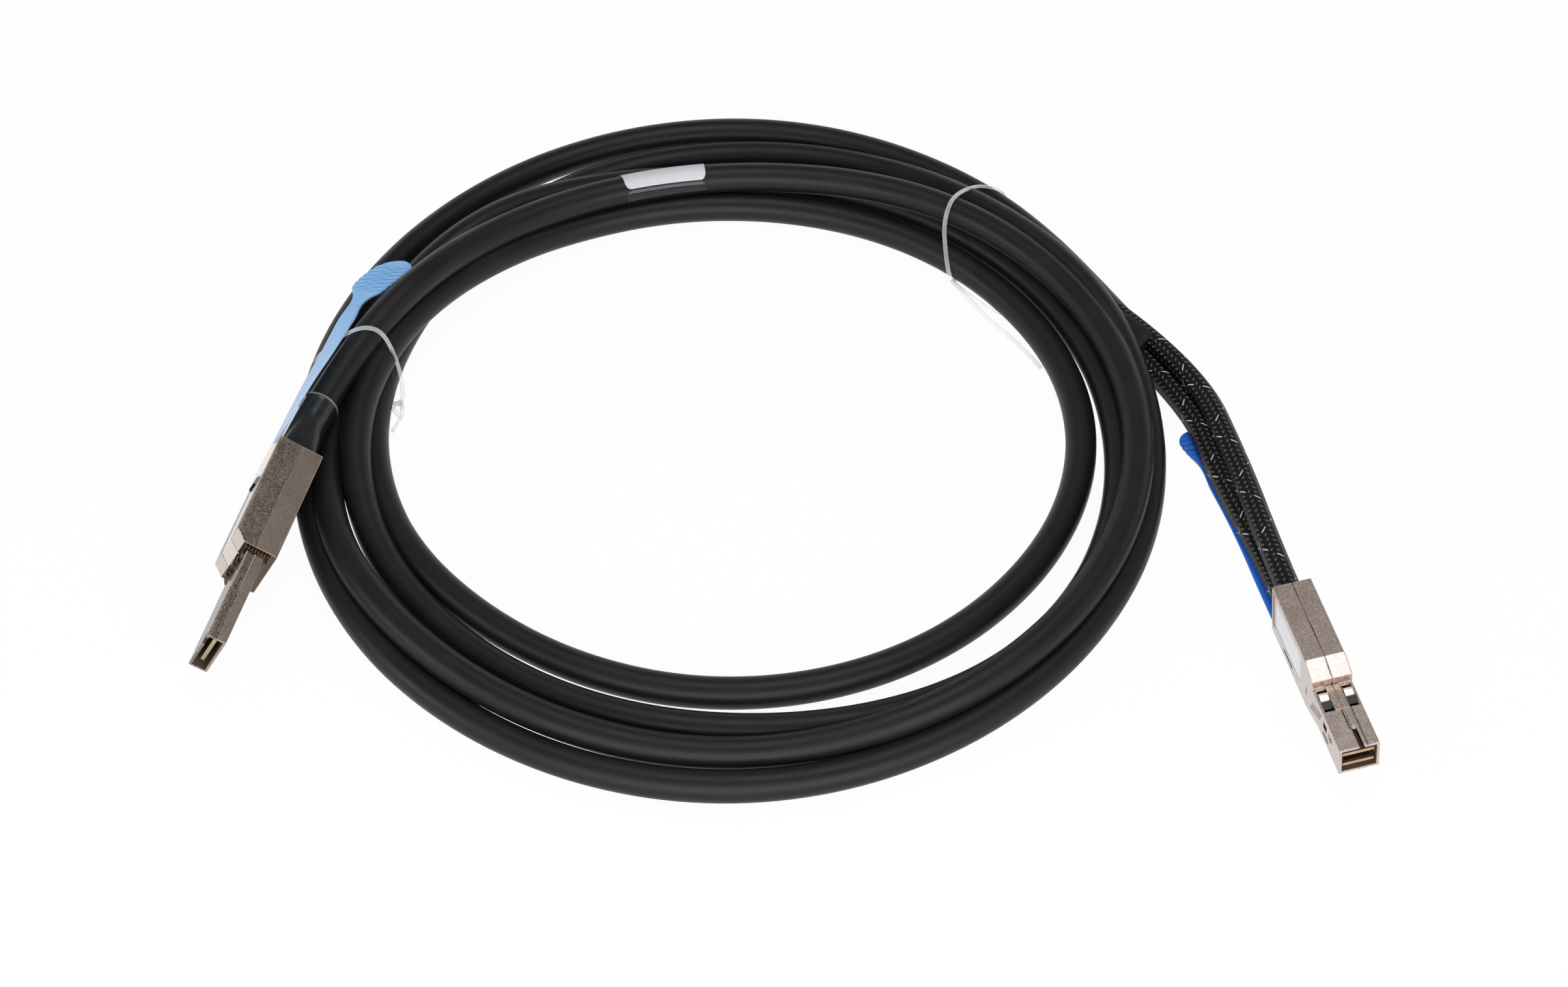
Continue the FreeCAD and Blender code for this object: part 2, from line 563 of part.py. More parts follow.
for number, y in enumerate(("-3.1", "3.1")):
    arms.append(centred("hd_arm_%d" % number, "hd_chamfer_run + hd_pin_inset + 8.4", "1.8",
                        "hd_arm_thickness", "hd_length - hd_pin_inset - 1.4", "hd_arm_z", y))
    catch = profile("hd_catch_%d" % number, [
        ("hd_length + hd_chamfer_run + 1.4", "hd_arm_z + 0.1"), ("hd_length + hd_chamfer_run + 1.4", nose_top + " + 0.35"),
        ("hd_length + hd_chamfer_run + 3", nose_top + " + 0.35"),
        ("hd_length + hd_chamfer_run + 7", nose_top + " - 0.7"),
        ("hd_length + hd_chamfer_run + 7", "hd_arm_z + 0.1")], "1.8")
    arms.append(put(catch, ("0", y, "0")))
hd_latch_hole = rod("hd_latch_hole", "pin_radius + pin_gap", "9", ("hd_length - hd_pin_inset", "-4.5", "hd_pin_z"), "y")
hd_latch = cut("hd_latch", fuse("hd_latch_whole", [bar, hd_ear] + arms), [hd_latch_hole])

hd_tab_rest = 0.45 - value("hd_tab_thickness") / 2
hd_tab_line = [
    (13.0, 0.0, hd_tab_rest, 0, 1.0), (0.0, 0.0, hd_tab_rest, 0, 1.0), (-13.0, -0.5, 0.7, 0.08, 0.98),
    (-29.0, -1.1, 1.5, 0.1, 0.9), (-38.0, -1.8, 2.0, 0.1, 0.83), (-50.0, -2.6, 2.6, 0.1, 0.74),
    (-60.0, -3.6, 3.2, 0.1, 0.68), (-62.5, -4.0, 3.35, 0.1, 0.95), (-65.5, -4.5, 3.55, 0.1, 1.08),
    (-69.0, -5.1, 3.75, 0.1, 1.0), (-71.5, -5.5, 3.9, 0.1, 0.6),
]
hd_tab = strip("hd_tab", [
    (vector(x, y, z), vector(0, 1, -lean), share * value("hd_tab_width"), value("hd_tab_thickness"))
    for x, y, z, lean, share in hd_tab_line
])

# cable: coil, lead into the wide plug, breakout sleeve and two legs
centre = vector(value("coil_centre_x"), value("coil_centre_y"), 0)
upright = FreeCAD.Rotation(90, 0, 0)


def ring(name, height, inset):
    walls = []
    for side in ("outer", "inner"):
        curve = doc.addObject("Part::Ellipse", name + "_" + side)
        shrink = " - " + inset if side == "outer" else ""
        long_way, short_way = ("along", "across") if side == "outer" else ("across", "along")
        bind(curve, "MajorRadius", "ring_%s_%s%s" % (side, long_way, shrink))
        bind(curve, "MinorRadius", "ring_%s_%s%s" % (side, short_way, shrink))
        curve.Placement = FreeCAD.Placement(vector(0, 0, 0), upright if side == "outer" else FreeCAD.Rotation())
        put(curve, ("coil_centre_x - 2", "coil_centre_y - %s" % (0 if side == "outer" else 1.6), "0"))
        block = doc.addObject("Part::Extrusion", name + "_" + side + "_block")
        block.Base = curve
        block.Dir = (0, 0, 1)
        block.Solid = True
        bind(block, "LengthFwd", height)
        walls.append(block)
    return walls


plug_room = centred("plug_room", "wide_length + 8", "wide_width + 1.6", "wide_depth + 5", "-3", "-wide_depth / 2 - 0.5")
plug_room.Placement = wide_pose.multiply(FreeCAD.Placement(
    vector(-3, -value("wide_width") / 2 - 0.8, -value("wide_depth") / 2 - 0.5), FreeCAD.Rotation()))
for letter in "xyz":
    plug_room.setExpression("Placement.Base." + letter, None)
low_wall, low_hole = ring("low_ring", "ring_low_height", "0")
high_wall, high_hole = ring("high_ring", "ring_high_height", "ring_step")
stepped = fuse("stepped", [low_wall, high_wall])
stepped.Refine = True
coil_round = rounded("coil_round", cut("coil_ring", stepped, [high_hole]), "ring_round", lambda edge: (
    edge.BoundBox.ZLength < 0.01 and edge.BoundBox.Center.z > 1 and edge.BoundBox.XLength > 50
    and not (edge.BoundBox.Center.z < value("ring_high_height") - 1 and edge.BoundBox.XLength
             < 2 * (value("ring_outer_across") - value("ring_step")) + 1)))


def tie(name, bearing, section):
    # closed band in the upright plane through the coil centre at this bearing
    thickness = value("tie_thickness")
    width = value("tie_width")
    middle_r = sum(r for r, z in section) / len(section)
    middle_z = sum(z for r, z in section) / len(section)
    inner = [vector(r, -width / 2, z) for r, z in section]
    inner_wire = Part.makePolygon(inner + inner[:1])
    outer_wire = inner_wire.makeOffset2D(thickness, 2)
    band = Part.Face([outer_wire, inner_wire]) if outer_wire.isClosed() else Part.Face(outer_wire)
    band.validate()
    shape = band.extrude(vector(0, width, 0))
    shape.Placement = FreeCAD.Placement(centre, FreeCAD.Rotation(bearing, 0, 0))
    print("%s: about (%.0f, %.0f)" % (name, middle_r, middle_z))
    return solid(name, shape)


left_tie = tie("left_tie", 166, [(91.6, 0.92), (121.6, 0.92), (121.6, 8.2), (110.0, 17.4), (105.5, 23.2),
                                 (99.8, 22.0), (91.6, 13.5)])
right_tie = tie("right_tie", 56, [(85.9, 0.92), (122.8, 0.92), (122.8, 9.8), (113.0, 16.9), (91.0, 16.9),
                                  (85.9, 11.0)])
coil = cut("coil", coil_round, [plug_room, left_tie, right_tie])

lead = tube("lead", [
    wide_pose.multVec(vector(10.5, 0, 0)), wide_pose.multVec(vector(-17, 0, 0.0)),
    centre + vector(-105.2, 19.0, 17.0), centre + vector(-92.4, 37.6, 18.6),
    centre + vector(-76.2, 59.3, 15.8), centre + vector(-59.0, 75.0, 12.6)], value("cable_radius"))

sleeve_shape = Part.makeLoft([oval(0, 4.9, 4.6), oval(6, 5.2, 4.6), oval(11, 6.4, 4.2), oval(17, 7.2, 3.9)], True)
sleeve_pose = FreeCAD.Placement(centre + vector(104.2, 43.6, 5.6), FreeCAD.Rotation(-54, 0, -22))
sleeve = solid("sleeve", sleeve_shape)


def leg(name, loose, guided, height):
    # loose points lie beside the coil, guided points are in the plug's own axes at its entry height
    line = [centre + vector(*point) for point in loose]
    line += [hd_pose.multVec(vector(x, y, height + z)) for x, y, z in guided]
    return tube(name, line, value("leg_radius"))


entry = value("lower_leg_height")
upper_leg = leg("upper_leg", [(108.5, 42.0, 6.8), (126.8, 18.6, 7.4)],
                [(-50.0, 1.9, -1.2), (-14.0, 0, 0), (6.2, 0, 0)], entry + value("leg_spacing"))
lower_leg = leg("lower_leg", [(109.5, 33.5, 4.4), (124.6, 9.0, 4.6), (130.6, -17.2, 4.6)],
                [(-14.0, 0, 0), (6.2, 0, 0)], entry)

label = centred("cable_label_patch", "label_length", "label_width", "label_thickness", "0", "0")
label_pose = FreeCAD.Placement(centre + vector(-33.4, 93.4, value("ring_high_height")), FreeCAD.Rotation(13, 0, 0))

for item, name in (
    (top_shell, "wide_plug_top_shell"), (base_shell, "wide_plug_base_shell"), (card, "wide_plug_card"),
    (wide_pads, "wide_plug_contacts"), (wire_block, "wide_plug_wire_block"), (collar, "wide_plug_shield_collar"),
    (latch, "wide_plug_latch"), (latch_pin, "wide_plug_latch_pin"), (wide_tab, "wide_plug_pull_tab"),
    (crimp, "wide_plug_crimp_ring"), (boot, "wide_plug_boot"), (screw_group, "wide_plug_screws"),
):
    finish(item, name, wide_pose)
for item, name in (
    (left_shell, "hd_plug_left_shell"), (right_shell, "hd_plug_right_shell"), (hd_cards[0], "hd_plug_lower_card"),
    (hd_cards[1], "hd_plug_upper_card"), (hd_pads[0], "hd_plug_lower_contacts"), (hd_pads[1], "hd_plug_upper_contacts"),
    (spacer, "hd_plug_card_spacer"), (hd_latch, "hd_plug_latch"), (hd_pin, "hd_plug_latch_pin"),
    (hd_tab, "hd_plug_pull_tab"), (side_label, "hd_plug_side_label"), (crimp_group, "hd_plug_crimp_rings"),
    (hd_screw_group, "hd_plug_screws"),
):
    finish(item, name, hd_pose)
finish(coil, "cable_coil")
finish(lead, "cable_lead")
finish(sleeve, "breakout_sleeve", sleeve_pose)
finish(upper_leg, "upper_braided_leg")
finish(lower_leg, "lower_braided_leg")
finish(label, "cable_label", label_pose)
finish(left_tie, "left_twist_tie")
finish(right_tie, "right_twist_tie")

sheet.clear("D1")
doc.recompute()
os.makedirs("parts", exist_ok=True)
for item in doc.Objects:
    if "Invalid" in item.State or "Error" in item.State:
        raise RuntimeError("%s did not build: %s" % (item.Label, item.State))
for item in finished:
    if item.Shape.isNull() or not item.Shape.isValid():
        raise RuntimeError("%s has no sound shape" % item.Label)
    item.Shape.exportStep("parts/%s.step" % item.Label)
    bounds = item.Shape.BoundBox
    print("%-26s solids %d volume %9.1f  z %.2f to %.2f" % (
        item.Label, len(item.Shape.Solids), item.Shape.Volume, bounds.ZMin, bounds.ZMax))
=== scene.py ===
# Coiled data cable with a wide plug at one end and a narrow two-card plug at the other
import bmesh
import bpy
import math
import numpy as np
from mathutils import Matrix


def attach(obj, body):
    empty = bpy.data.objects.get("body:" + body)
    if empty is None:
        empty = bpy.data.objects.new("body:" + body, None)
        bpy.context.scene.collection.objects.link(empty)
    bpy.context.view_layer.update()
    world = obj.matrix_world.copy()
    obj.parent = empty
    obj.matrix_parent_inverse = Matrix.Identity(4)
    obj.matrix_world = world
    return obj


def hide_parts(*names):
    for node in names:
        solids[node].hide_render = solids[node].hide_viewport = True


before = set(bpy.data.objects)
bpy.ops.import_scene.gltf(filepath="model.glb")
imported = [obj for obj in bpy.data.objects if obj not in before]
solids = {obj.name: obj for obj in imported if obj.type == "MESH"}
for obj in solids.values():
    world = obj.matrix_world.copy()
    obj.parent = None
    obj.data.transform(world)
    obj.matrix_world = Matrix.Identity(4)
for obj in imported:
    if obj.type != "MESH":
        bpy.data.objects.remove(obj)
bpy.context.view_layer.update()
mm = 0.001
scene = bpy.context.scene
print("frame loaded with", len(solids), "solids")


# sRGB hex to linear colour: c / 12.92 near black, ((c + 0.055) / 1.055) ^ 2.4 above it
def linear(hexText):
    c = np.array([int(hexText[i:i + 2], 16) for i in (1, 3, 5)]) / 255
    return (*np.where(c <= 0.04045, c / 12.92, ((c + 0.055) / 1.055) ** 2.4).tolist(), 1.0)


# one node with its settings; an input takes a value, an output, or a node that stands for its live output
def addNode(material, kind, inputs=None, **settings):
    made = material.node_tree.nodes.new("ShaderNode" + kind)
    for key, value in settings.items():
        setattr(made, key, value)
    for key, value in (inputs or {}).items():
        if isinstance(value, bpy.types.Node):
            value = next(o for o in value.outputs if o.enabled)
        if isinstance(value, bpy.types.NodeSocket):
            material.node_tree.links.new(value, made.inputs[key])
        else:
            made.inputs[key].default_value = value
    return made


def newMaterial(name):
    material = bpy.data.materials.new(name)
    material.use_nodes = True
    material.node_tree.nodes.clear()
    return material


def mathNode(material, operation, *values, **settings):
    return addNode(material, "Math", dict(enumerate(values)), operation=operation, **settings)


def mixColour(material, share, *pair):
    first, second = (linear(c) if isinstance(c, str) else c for c in pair)
    return addNode(material, "Mix", {0: share, 6: first, 7: second}, data_type="RGBA")


def mapRange(material, value, low, high, toLow=0.0, toHigh=1.0):
    limits = {"From Min": low, "From Max": high, "To Min": toLow, "To Max": toHigh}
    return addNode(material, "MapRange", {"Value": value} | limits)


# noise on the object itself, its size in mm
def noise(material, place, sizeMm, detail):
    spot = place.outputs["Object"]
    return addNode(material, "TexNoise", {"Vector": spot, "Scale": 1 / (sizeMm * mm), "Detail": detail})


# metres along, across and up from a plug's own origin
def plugAxes(material, place, plug):
    seat = {"Location": tuple(plug[0] * mm), "Rotation": plug[2]}
    own = addNode(material, "Mapping", {"Vector": place.outputs["Object"]} | seat, vector_type="TEXTURE")
    return addNode(material, "SeparateXYZ", {0: own}).outputs


# 1 for rays that come from the eye, off a mirror or through glass
def seenRay(material):
    ray = addNode(material, "LightPath").outputs
    direct = mathNode(material, "MAXIMUM", ray["Is Camera Ray"], ray["Is Glossy Ray"])
    return mathNode(material, "MAXIMUM", direct, ray["Is Transmission Ray"])


# a principled shader on the material's output; where a share is given, the rest of it is clear
def shaded(material, inputs, share=None):
    shader = addNode(material, "BsdfPrincipled", inputs)
    if share is not None:
        clear = addNode(material, "BsdfTransparent", {"Color": (1, 1, 1, 1)})
        shader = addNode(material, "MixShader", {0: share, 1: clear, 2: shader})
    addNode(material, "OutputMaterial", {"Surface": shader})
    return material


# cubic Hermite through the rows: each span keeps both its ends and the slopes of the neighbours' differences
def through(knots, rows, at):
    knots, rows, at = np.asarray(knots, float), np.asarray(rows, float), np.asarray(at, float)
    slope = np.gradient(rows, knots, axis=0)
    k = np.clip(np.searchsorted(knots, at, side="right") - 1, 0, len(knots) - 2)
    h = (knots[k + 1] - knots[k])[:, None]
    t = (at - knots[k])[:, None] / h
    return ((2 * t**3 - 3 * t**2 + 1) * rows[k] + (t**3 - 2 * t**2 + t) * h * slope[k]
            + (3 * t**2 - 2 * t**3) * rows[k + 1] + (t**3 - t**2) * h * slope[k + 1])


def unit(vectors):
    return vectors / np.linalg.norm(vectors, axis=-1, keepdims=True)


# superellipse |x|^n + |y|^n = 1 as an angle runs once round it
def barProfile(count, power):
    t = np.linspace(0, 2 * np.pi, count, endpoint=False)
    c, s = np.cos(t), np.sin(t)
    return np.sign(c) * np.abs(c) ** (2 / power), np.sign(s) * np.abs(s) ** (2 / power)


# a profile carried along a path: point = path + across * x + up * y, for every row and column at once
def carried(path, across, up, x, y):
    x, y = (np.broadcast_to(v, (len(path), np.shape(v)[-1])) for v in (x, y))
    return path[:, None] + across[:, None] * x[..., None] + up[:, None] * y[..., None]


# directions along a path that lies on the table: level across it, and up at right angles to both
def levelFrame(path):
    tangent = unit(np.gradient(path, axis=0))
    across = unit(np.cross((0, 0, 1), tangent))
    return across, np.cross(tangent, across)


# distance along a path, row by row
def runLength(path):
    return np.r_[0, np.cumsum(np.linalg.norm(np.diff(path, axis=0), axis=1))]


# points at given distances along a path
def pointsAlong(path, at):
    return np.stack([np.interp(at, runLength(path), path[:, k]) for k in range(3)], -1)


# rows and columns of points joined by four-sided faces; the map holds metres along and turns around
def gridMesh(name, parts):
    mesh = bpy.data.meshes.new(name)
    points, faces, spans, finishes, grooves = [], [], [], [], []
    for part in parts:
        grid, wrap = part["grid"], part.get("wrap", True)
        rows, cols = grid.shape[:2]
        base = sum(len(p) for p in points)
        i, j = np.meshgrid(np.arange(rows - 1), np.arange(cols if wrap else cols - 1), indexing="ij")
        corners = [(i, j), (i, j + 1), (i + 1, j + 1), (i + 1, j)]
        quads = np.stack([base + a * cols + b % cols for a, b in corners], -1).reshape(-1, 4)
        along = part.get("along", runLength(grid.mean(axis=1)))
        around = np.arange(cols + 1) / cols
        spans.append(np.stack([np.stack([along[a], around[b]], -1) for a, b in corners], -2).reshape(-1, 2))
        points.append(grid.reshape(-1, 3))
        grooves.append(np.broadcast_to(part.get("groove", 0.0), (rows, cols)).ravel())
        faces += quads.tolist()
        finishes += [part.get("finish", 0)] * len(quads)
        if part.get("capped", True):
            faces += [list(range(base, base + cols)), list(range(base + (rows - 1) * cols, base + rows * cols))]
            spans.append(np.zeros((2 * cols, 2)))
            finishes += [part.get("finish", 0)] * 2
    mesh.from_pydata(np.concatenate(points).tolist(), [], faces)
    mesh.uv_layers.new(name="span").data.foreach_set("uv", np.concatenate(spans).astype(np.float32).ravel())
    mesh.polygons.foreach_set("material_index", finishes)
    depth = mesh.attributes.new("groove", "FLOAT", "POINT")
    depth.data.foreach_set("value", np.concatenate(grooves).astype(np.float32))
    work = bmesh.new()
    work.from_mesh(mesh)
    bmesh.ops.recalc_face_normals(work, faces=work.faces[:])
    work.to_mesh(mesh)
    work.free()
    mesh.polygons.foreach_set("use_smooth", np.ones(len(mesh.polygons), bool))
    mesh.set_sharp_from_angle(angle=math.radians(50))  # rounded sides stay smooth, cut ends sharp
    return mesh


def addPiece(name, data, materials, body, stands=()):
    made = bpy.data.objects.new(name, data)
    scene.collection.objects.link(made)
    for material in materials:
        data.materials.append(material)
    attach(made, body)
    if stands:
        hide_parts(*stands)
    return made


def addGrid(name, parts, materials, body, stands=()):
    return addPiece(name, gridMesh(name, parts), materials, body, stands)


# a smooth line with the route's points as its control points
def routeCurve(name, points, radius=0.0, steps=10, closed=False):
    curve = bpy.data.curves.new(name, "CURVE")
    curve.dimensions = "3D"
    line = curve.splines.new("NURBS")
    line.points.add(len(points) - 1)
    line.points.foreach_set("co", np.c_[points, np.ones(len(points))].astype(np.float32).ravel())
    line.use_cyclic_u = closed
    line.use_endpoint_u = not closed
    line.order_u = 3
    line.resolution_u = steps
    curve.bevel_depth = radius
    curve.bevel_resolution = 8
    curve.use_fill_caps = True
    return curve


# points read from a route's line
def pointsOf(curve):
    holder = bpy.data.objects.new("route", curve)
    mesh = bpy.data.meshes.new_from_object(holder)
    flat = np.empty(len(mesh.vertices) * 3, np.float32)
    mesh.vertices.foreach_get("co", flat)
    bpy.data.objects.remove(holder)
    bpy.data.meshes.remove(mesh)
    return flat.reshape(-1, 3).astype(float)


# a plug's frame: rolled about its length, tipped, then swung round to its place on the table
def plugFrame(origin, yaw, pitch, roll):
    a, b, c = np.radians([yaw, pitch, roll])
    swing = np.array([[np.cos(a), -np.sin(a), 0], [np.sin(a), np.cos(a), 0], [0, 0, 1]])
    tip = np.array([[np.cos(b), 0, np.sin(b)], [0, 1, 0], [-np.sin(b), 0, np.cos(b)]])
    rolled = np.array([[1, 0, 0], [0, np.cos(c), -np.sin(c)], [0, np.sin(c), np.cos(c)]])
    return np.array(origin, float), swing @ tip @ rolled, (c, b, a)


def placed(plug, local):
    return (np.asarray(local, float) @ plug[1].T + plug[0]) * mm


widePlug = plugFrame((-130.43, 11.24, 14.15), yaw=255.2, pitch=3.5, roll=62.5)
narrowPlug = plugFrame((136.07, -33.46, 1.0), yaw=-78.1, pitch=-2.8, roll=6.0)

# finishes

# nickel-plated zinc die casting, bead-blasted: warm grey with a fine sparkle, paler edges, a dark parting line; the
# edges' paler tone is partly rubbed plating and partly a painted highlight
# the sparkle's cells are drawn coarser than the real 0.1 mm grit so that they show; the face round the nose is drawn
# dark, facets that face one way take a tone of their own as painted light and are drawn smoother, and the hollow
# of the nose is dull, its dark tone painted shade
def blastedZinc(name, plug, partingAxis, front, dark, light, grainMm, sparkle,
                castFace=None, ground=(), hollow=None, rough=0.32):
    material = newMaterial(name)
    place = addNode(material, "TexCoord")
    cells = addNode(material, "TexVoronoi", {"Vector": place.outputs["Object"], "Scale": 1 / (grainMm * mm)})
    grit = addNode(material, "SeparateXYZ", {0: cells.outputs["Color"]}).outputs
    grain = noise(material, place, 0.25, 1.5)
    cloud = noise(material, place, 6, 3.0)
    blur = mapRange(material, cloud, 0.3, 0.7, -0.15, 0.15)
    tone = mathNode(material, "ADD", grit[0], blur, use_clamp=True)
    # the plug's own axes, for the line where the two halves meet and the crisper edges beyond the body's front
    axes = plugAxes(material, place, plug)
    crisp = mapRange(material, axes[0], (front - 1) * mm, front * mm, 0.4 * mm, 0.12 * mm)
    rounded = addNode(material, "Bevel", {"Radius": crisp}, samples=6)
    flat = addNode(material, "NewGeometry").outputs["True Normal"]
    agree = addNode(material, "VectorMath", {0: rounded, 1: flat}, operation="DOT_PRODUCT")
    edge = mapRange(material, agree, 0.99, 0.86, toHigh=0.75)
    away = mathNode(material, "ABSOLUTE", axes[partingAxis])
    line = mapRange(material, away, 0.26 * mm, 0.12 * mm)
    broken = mapRange(material, cloud, 0.35, 0.62, 0.15, 0.65)
    shade = mathNode(material, "MULTIPLY", line, broken)
    if castFace is not None:
        # the face round the nose is drawn dark by colour
        gap = mathNode(material, "SUBTRACT", axes[0], castFace * mm)
        near = mathNode(material, "ABSOLUTE", gap)
        darkFace = mapRange(material, near, 0.06 * mm, 0.03 * mm, toHigh=0.92)
        shade = mathNode(material, "MAXIMUM", shade, darkFace)
    body = mixColour(material, tone, dark, light)
    lustre = sparkle
    # each facet that faces one way takes its own tone, painted light for how the lamps fall on it, and a lower sparkle
    for facing, paintedFacetTone in ground:
        aim = unit(np.array(facing, float)) @ plug[1].T
        slope = addNode(material, "VectorMath", {0: flat, 1: tuple(aim)}, operation="DOT_PRODUCT")
        facet = mapRange(material, slope, 0.98, 0.99)
        body = mixColour(material, facet, body, paintedFacetTone)
        smooth = mapRange(material, facet, 0, 1, 1.0, 0.15)
        lustre = mathNode(material, "MULTIPLY", lustre, smooth)
    # paler edges: partly rubbed plating, partly a painted highlight
    rubbedAndHighlit = mixColour(material, edge, body, "#e3d8ce")
    # shield fingers at a 0.9 mm pitch show as paler stripes in the dark drawn on the face round the nose
    beat = mathNode(material, "MULTIPLY", axes[1], 2 * math.pi / (0.9 * mm))
    wave = mathNode(material, "SINE", beat)
    comb = mapRange(material, wave, 0.2, 0.8, toHigh=1.0 if castFace else 0.0)
    gloom = mixColour(material, comb, "#2e2723", "#8a6f58")
    seamed = mixColour(material, shade, rubbedAndHighlit, gloom)
    gloss = mapRange(material, grit[1], 0, 1, rough + 0.05, rough - 0.04)
    bump = addNode(material, "Bump", {"Height": grain, "Strength": lustre, "Distance": 0.05 * mm, "Normal": rounded})
    metal = {"Base Color": seamed, "Metallic": 1.0, "Roughness": gloss, "Normal": bump}
    shader = addNode(material, "BsdfPrincipled", metal)
    if hollow is not None:
        halfWidth, low, high = hollow
        aside = mathNode(material, "ABSOLUTE", axes[1])
        lifted = mathNode(material, "SUBTRACT", axes[2], (low + high) / 2 * mm)
        tall = mathNode(material, "ABSOLUTE", lifted)
        inside = mathNode(material, "GREATER_THAN", axes[0], front * mm)
        for reach, limit in ((aside, halfWidth), (tall, (high - low) / 2)):
            within = mathNode(material, "LESS_THAN", reach, limit * mm)
            inside = mathNode(material, "MULTIPLY", inside, within)
        # dull finish inside the nose, its dark tone painted shade
        hollowShade = mixColour(material, cloud, "#41372f", "#5e5147")
        dull = addNode(material, "BsdfPrincipled", {"Base Color": hollowShade, "Roughness": 0.6})
        shader = addNode(material, "MixShader", {0: inside, 1: shader, 2: dull})
    addNode(material, "OutputMaterial", {"Surface": shader})
    return material


# cold-rolled sheet, stamped: bright with faint rolling lines along the strip; a latch may be painted darker from a
# distance on to its tip, which is painted shade, and a shield's spring fingers stand at a pitch with painted shade in
# the gaps between
def rolledSteel(name, colour, rough, tip=None, fingers=None):
    material = newMaterial(name)
    place = addNode(material, "TexCoord")
    fine = (6000, 900, 900)  # per metre: lines 1.1 mm long and 0.17 mm apart
    lines = addNode(material, "Mapping", {"Vector": place.outputs["Object"], "Scale": fine})
    streak = addNode(material, "TexNoise", {"Vector": lines, "Scale": 1.0, "Detail": 2.0})
    gloss = mapRange(material, streak, 0, 1, rough - 0.1, rough + 0.1)
    pale = "#" + "".join("%02x" % min(255, int(colour[i:i + 2], 16) + 28) for i in (1, 3, 5))
    tint = mixColour(material, streak, colour, pale)
    if tip:
        plug, start, tipShade = tip
        axes = plugAxes(material, place, plug)
        shadedTip = mapRange(material, axes[0], (start - 0.1) * mm, (start + 0.3) * mm)
        tint = mixColour(material, shadedTip, tint, tipShade)
    if fingers:
        plug, pitch = fingers
        axes = plugAxes(material, place, plug)
        way = mathNode(material, "ADD", axes[1], axes[2])
        beat = mathNode(material, "MULTIPLY", way, 2 * math.pi / (pitch * mm))
        wave = mathNode(material, "SINE", beat)
        # dark gaps between the fingers: painted shade
        gap = mapRange(material, wave, 0.1, -0.4)
        tint = mixColour(material, gap, tint, "#1d1815")
    softened = addNode(material, "Bevel", {"Radius": 0.12 * mm}, samples=4)
    bump = addNode(material, "Bump", {"Height": streak, "Strength": 0.12, "Distance": 0.03 * mm, "Normal": softened})
    return shaded(material, {"Base Color": tint, "Metallic": 1.0, "Roughness": gloss, "Normal": bump})


# moulded or extruded plastic: even colour clouded a little, satin skin with a fine pitted grain
def plasticSkin(name, dark, light, rough, grainMm, pits, ior=1.5, specular=0.5):
    material = newMaterial(name)
    place = addNode(material, "TexCoord")
    grain = noise(material, place, grainMm, 3.0)
    cloud = noise(material, place, 14, 4.0)
    tint = mixColour(material, cloud, dark, light)
    gloss = mapRange(material, cloud, 0.3, 0.7, rough - 0.06, rough + 0.06)
    bump = addNode(material, "Bump", {"Height": grain, "Strength": pits, "Distance": 0.05 * mm})
    return shaded(material, {"Base Color": tint, "Roughness": gloss, "IOR": ior, "Specular IOR Level": specular,
                             "Normal": bump})


# the wide shell's top half is drawn darker and coarser and its base half paler and finer: partly a different blast,
# partly painted light for the slightly different slope of each half
wideCast = {"plug": widePlug, "partingAxis": 2, "front": 36, "castFace": 34.8, "hollow": (8.25, -3.05, 0.85)}
# the wide top shell's chamfer takes a paler tone: a painted highlight
castCoarse = blastedZinc("blasted_zinc_coarse", dark="#645952", light="#ac9f95", grainMm=0.3, sparkle=0.24,
                         ground=[((0.73, 0, 0.68), "#d3c6bc")], **wideCast)
castFine = blastedZinc("blasted_zinc_fine", dark="#95877c", light="#b0a196", grainMm=0.26, sparkle=0.05, **wideCast)
# the narrow plug's left side and its chamfer each take a tone of their own: painted light for how the lamps fall on
# them
castNarrow = blastedZinc("blasted_zinc_narrow_plug", narrowPlug, partingAxis=1, front=32, hollow=(4.55, 3.8, 11.4),
                         dark="#bcaa9f", light="#e7d6cb", grainMm=0.3, sparkle=0.08,
                         ground=[((0, -1, 0), "#c8beba"), ((2, 0, 5.8), "#d3cac6")])
bridgeNickel = rolledSteel("bright_nickel_plate", "#e3dcd6", rough=0.2)
stainless = {"colour": "#cfc6bd", "rough": 0.26}
latchSteel = rolledSteel("rolled_stainless", **stainless)
# the wide latch's tip and the narrow springs' tips are painted darker: painted shade
hookSteel = rolledSteel("rolled_stainless_hooked", tip=(widePlug, 34.9, "#4a3e35"), **stainless)
springSteel = rolledSteel("rolled_stainless_hardened", tip=(narrowPlug, 36.1, "#74787d"), **stainless)
# spring bronze of the shield collar, coloured dark
shieldBronze = rolledSteel("dark_spring_bronze", "#6b543f", rough=0.4, fingers=(widePlug, 0.9))
crimpBrass = rolledSteel("drawn_brass", "#b8964f", rough=0.3)
# gold flash over nickel: soft yellow mirror with wipe marks, drawn dark brown as painted shade in the plugs' mouths
goldFlash = rolledSteel("gold_flash_contacts", "#7d5f33", rough=0.3)
# dark bars in the slots are painted shade for their hollow, and the ribs are painted darker than the wall as their
# shade;
# neither keeps any gloss, even at a low angle
shadeFinish = {"rough": 0.7, "grainMm": 0.3, "pits": 0.2, "specular": 0.0}
slotShade = plasticSkin("painted_shade_in_slots", "#151211", "#272221", **shadeFinish)
ribShade = plasticSkin("painted_shade_on_ribs", "#766b64", "#90847c", **shadeFinish)
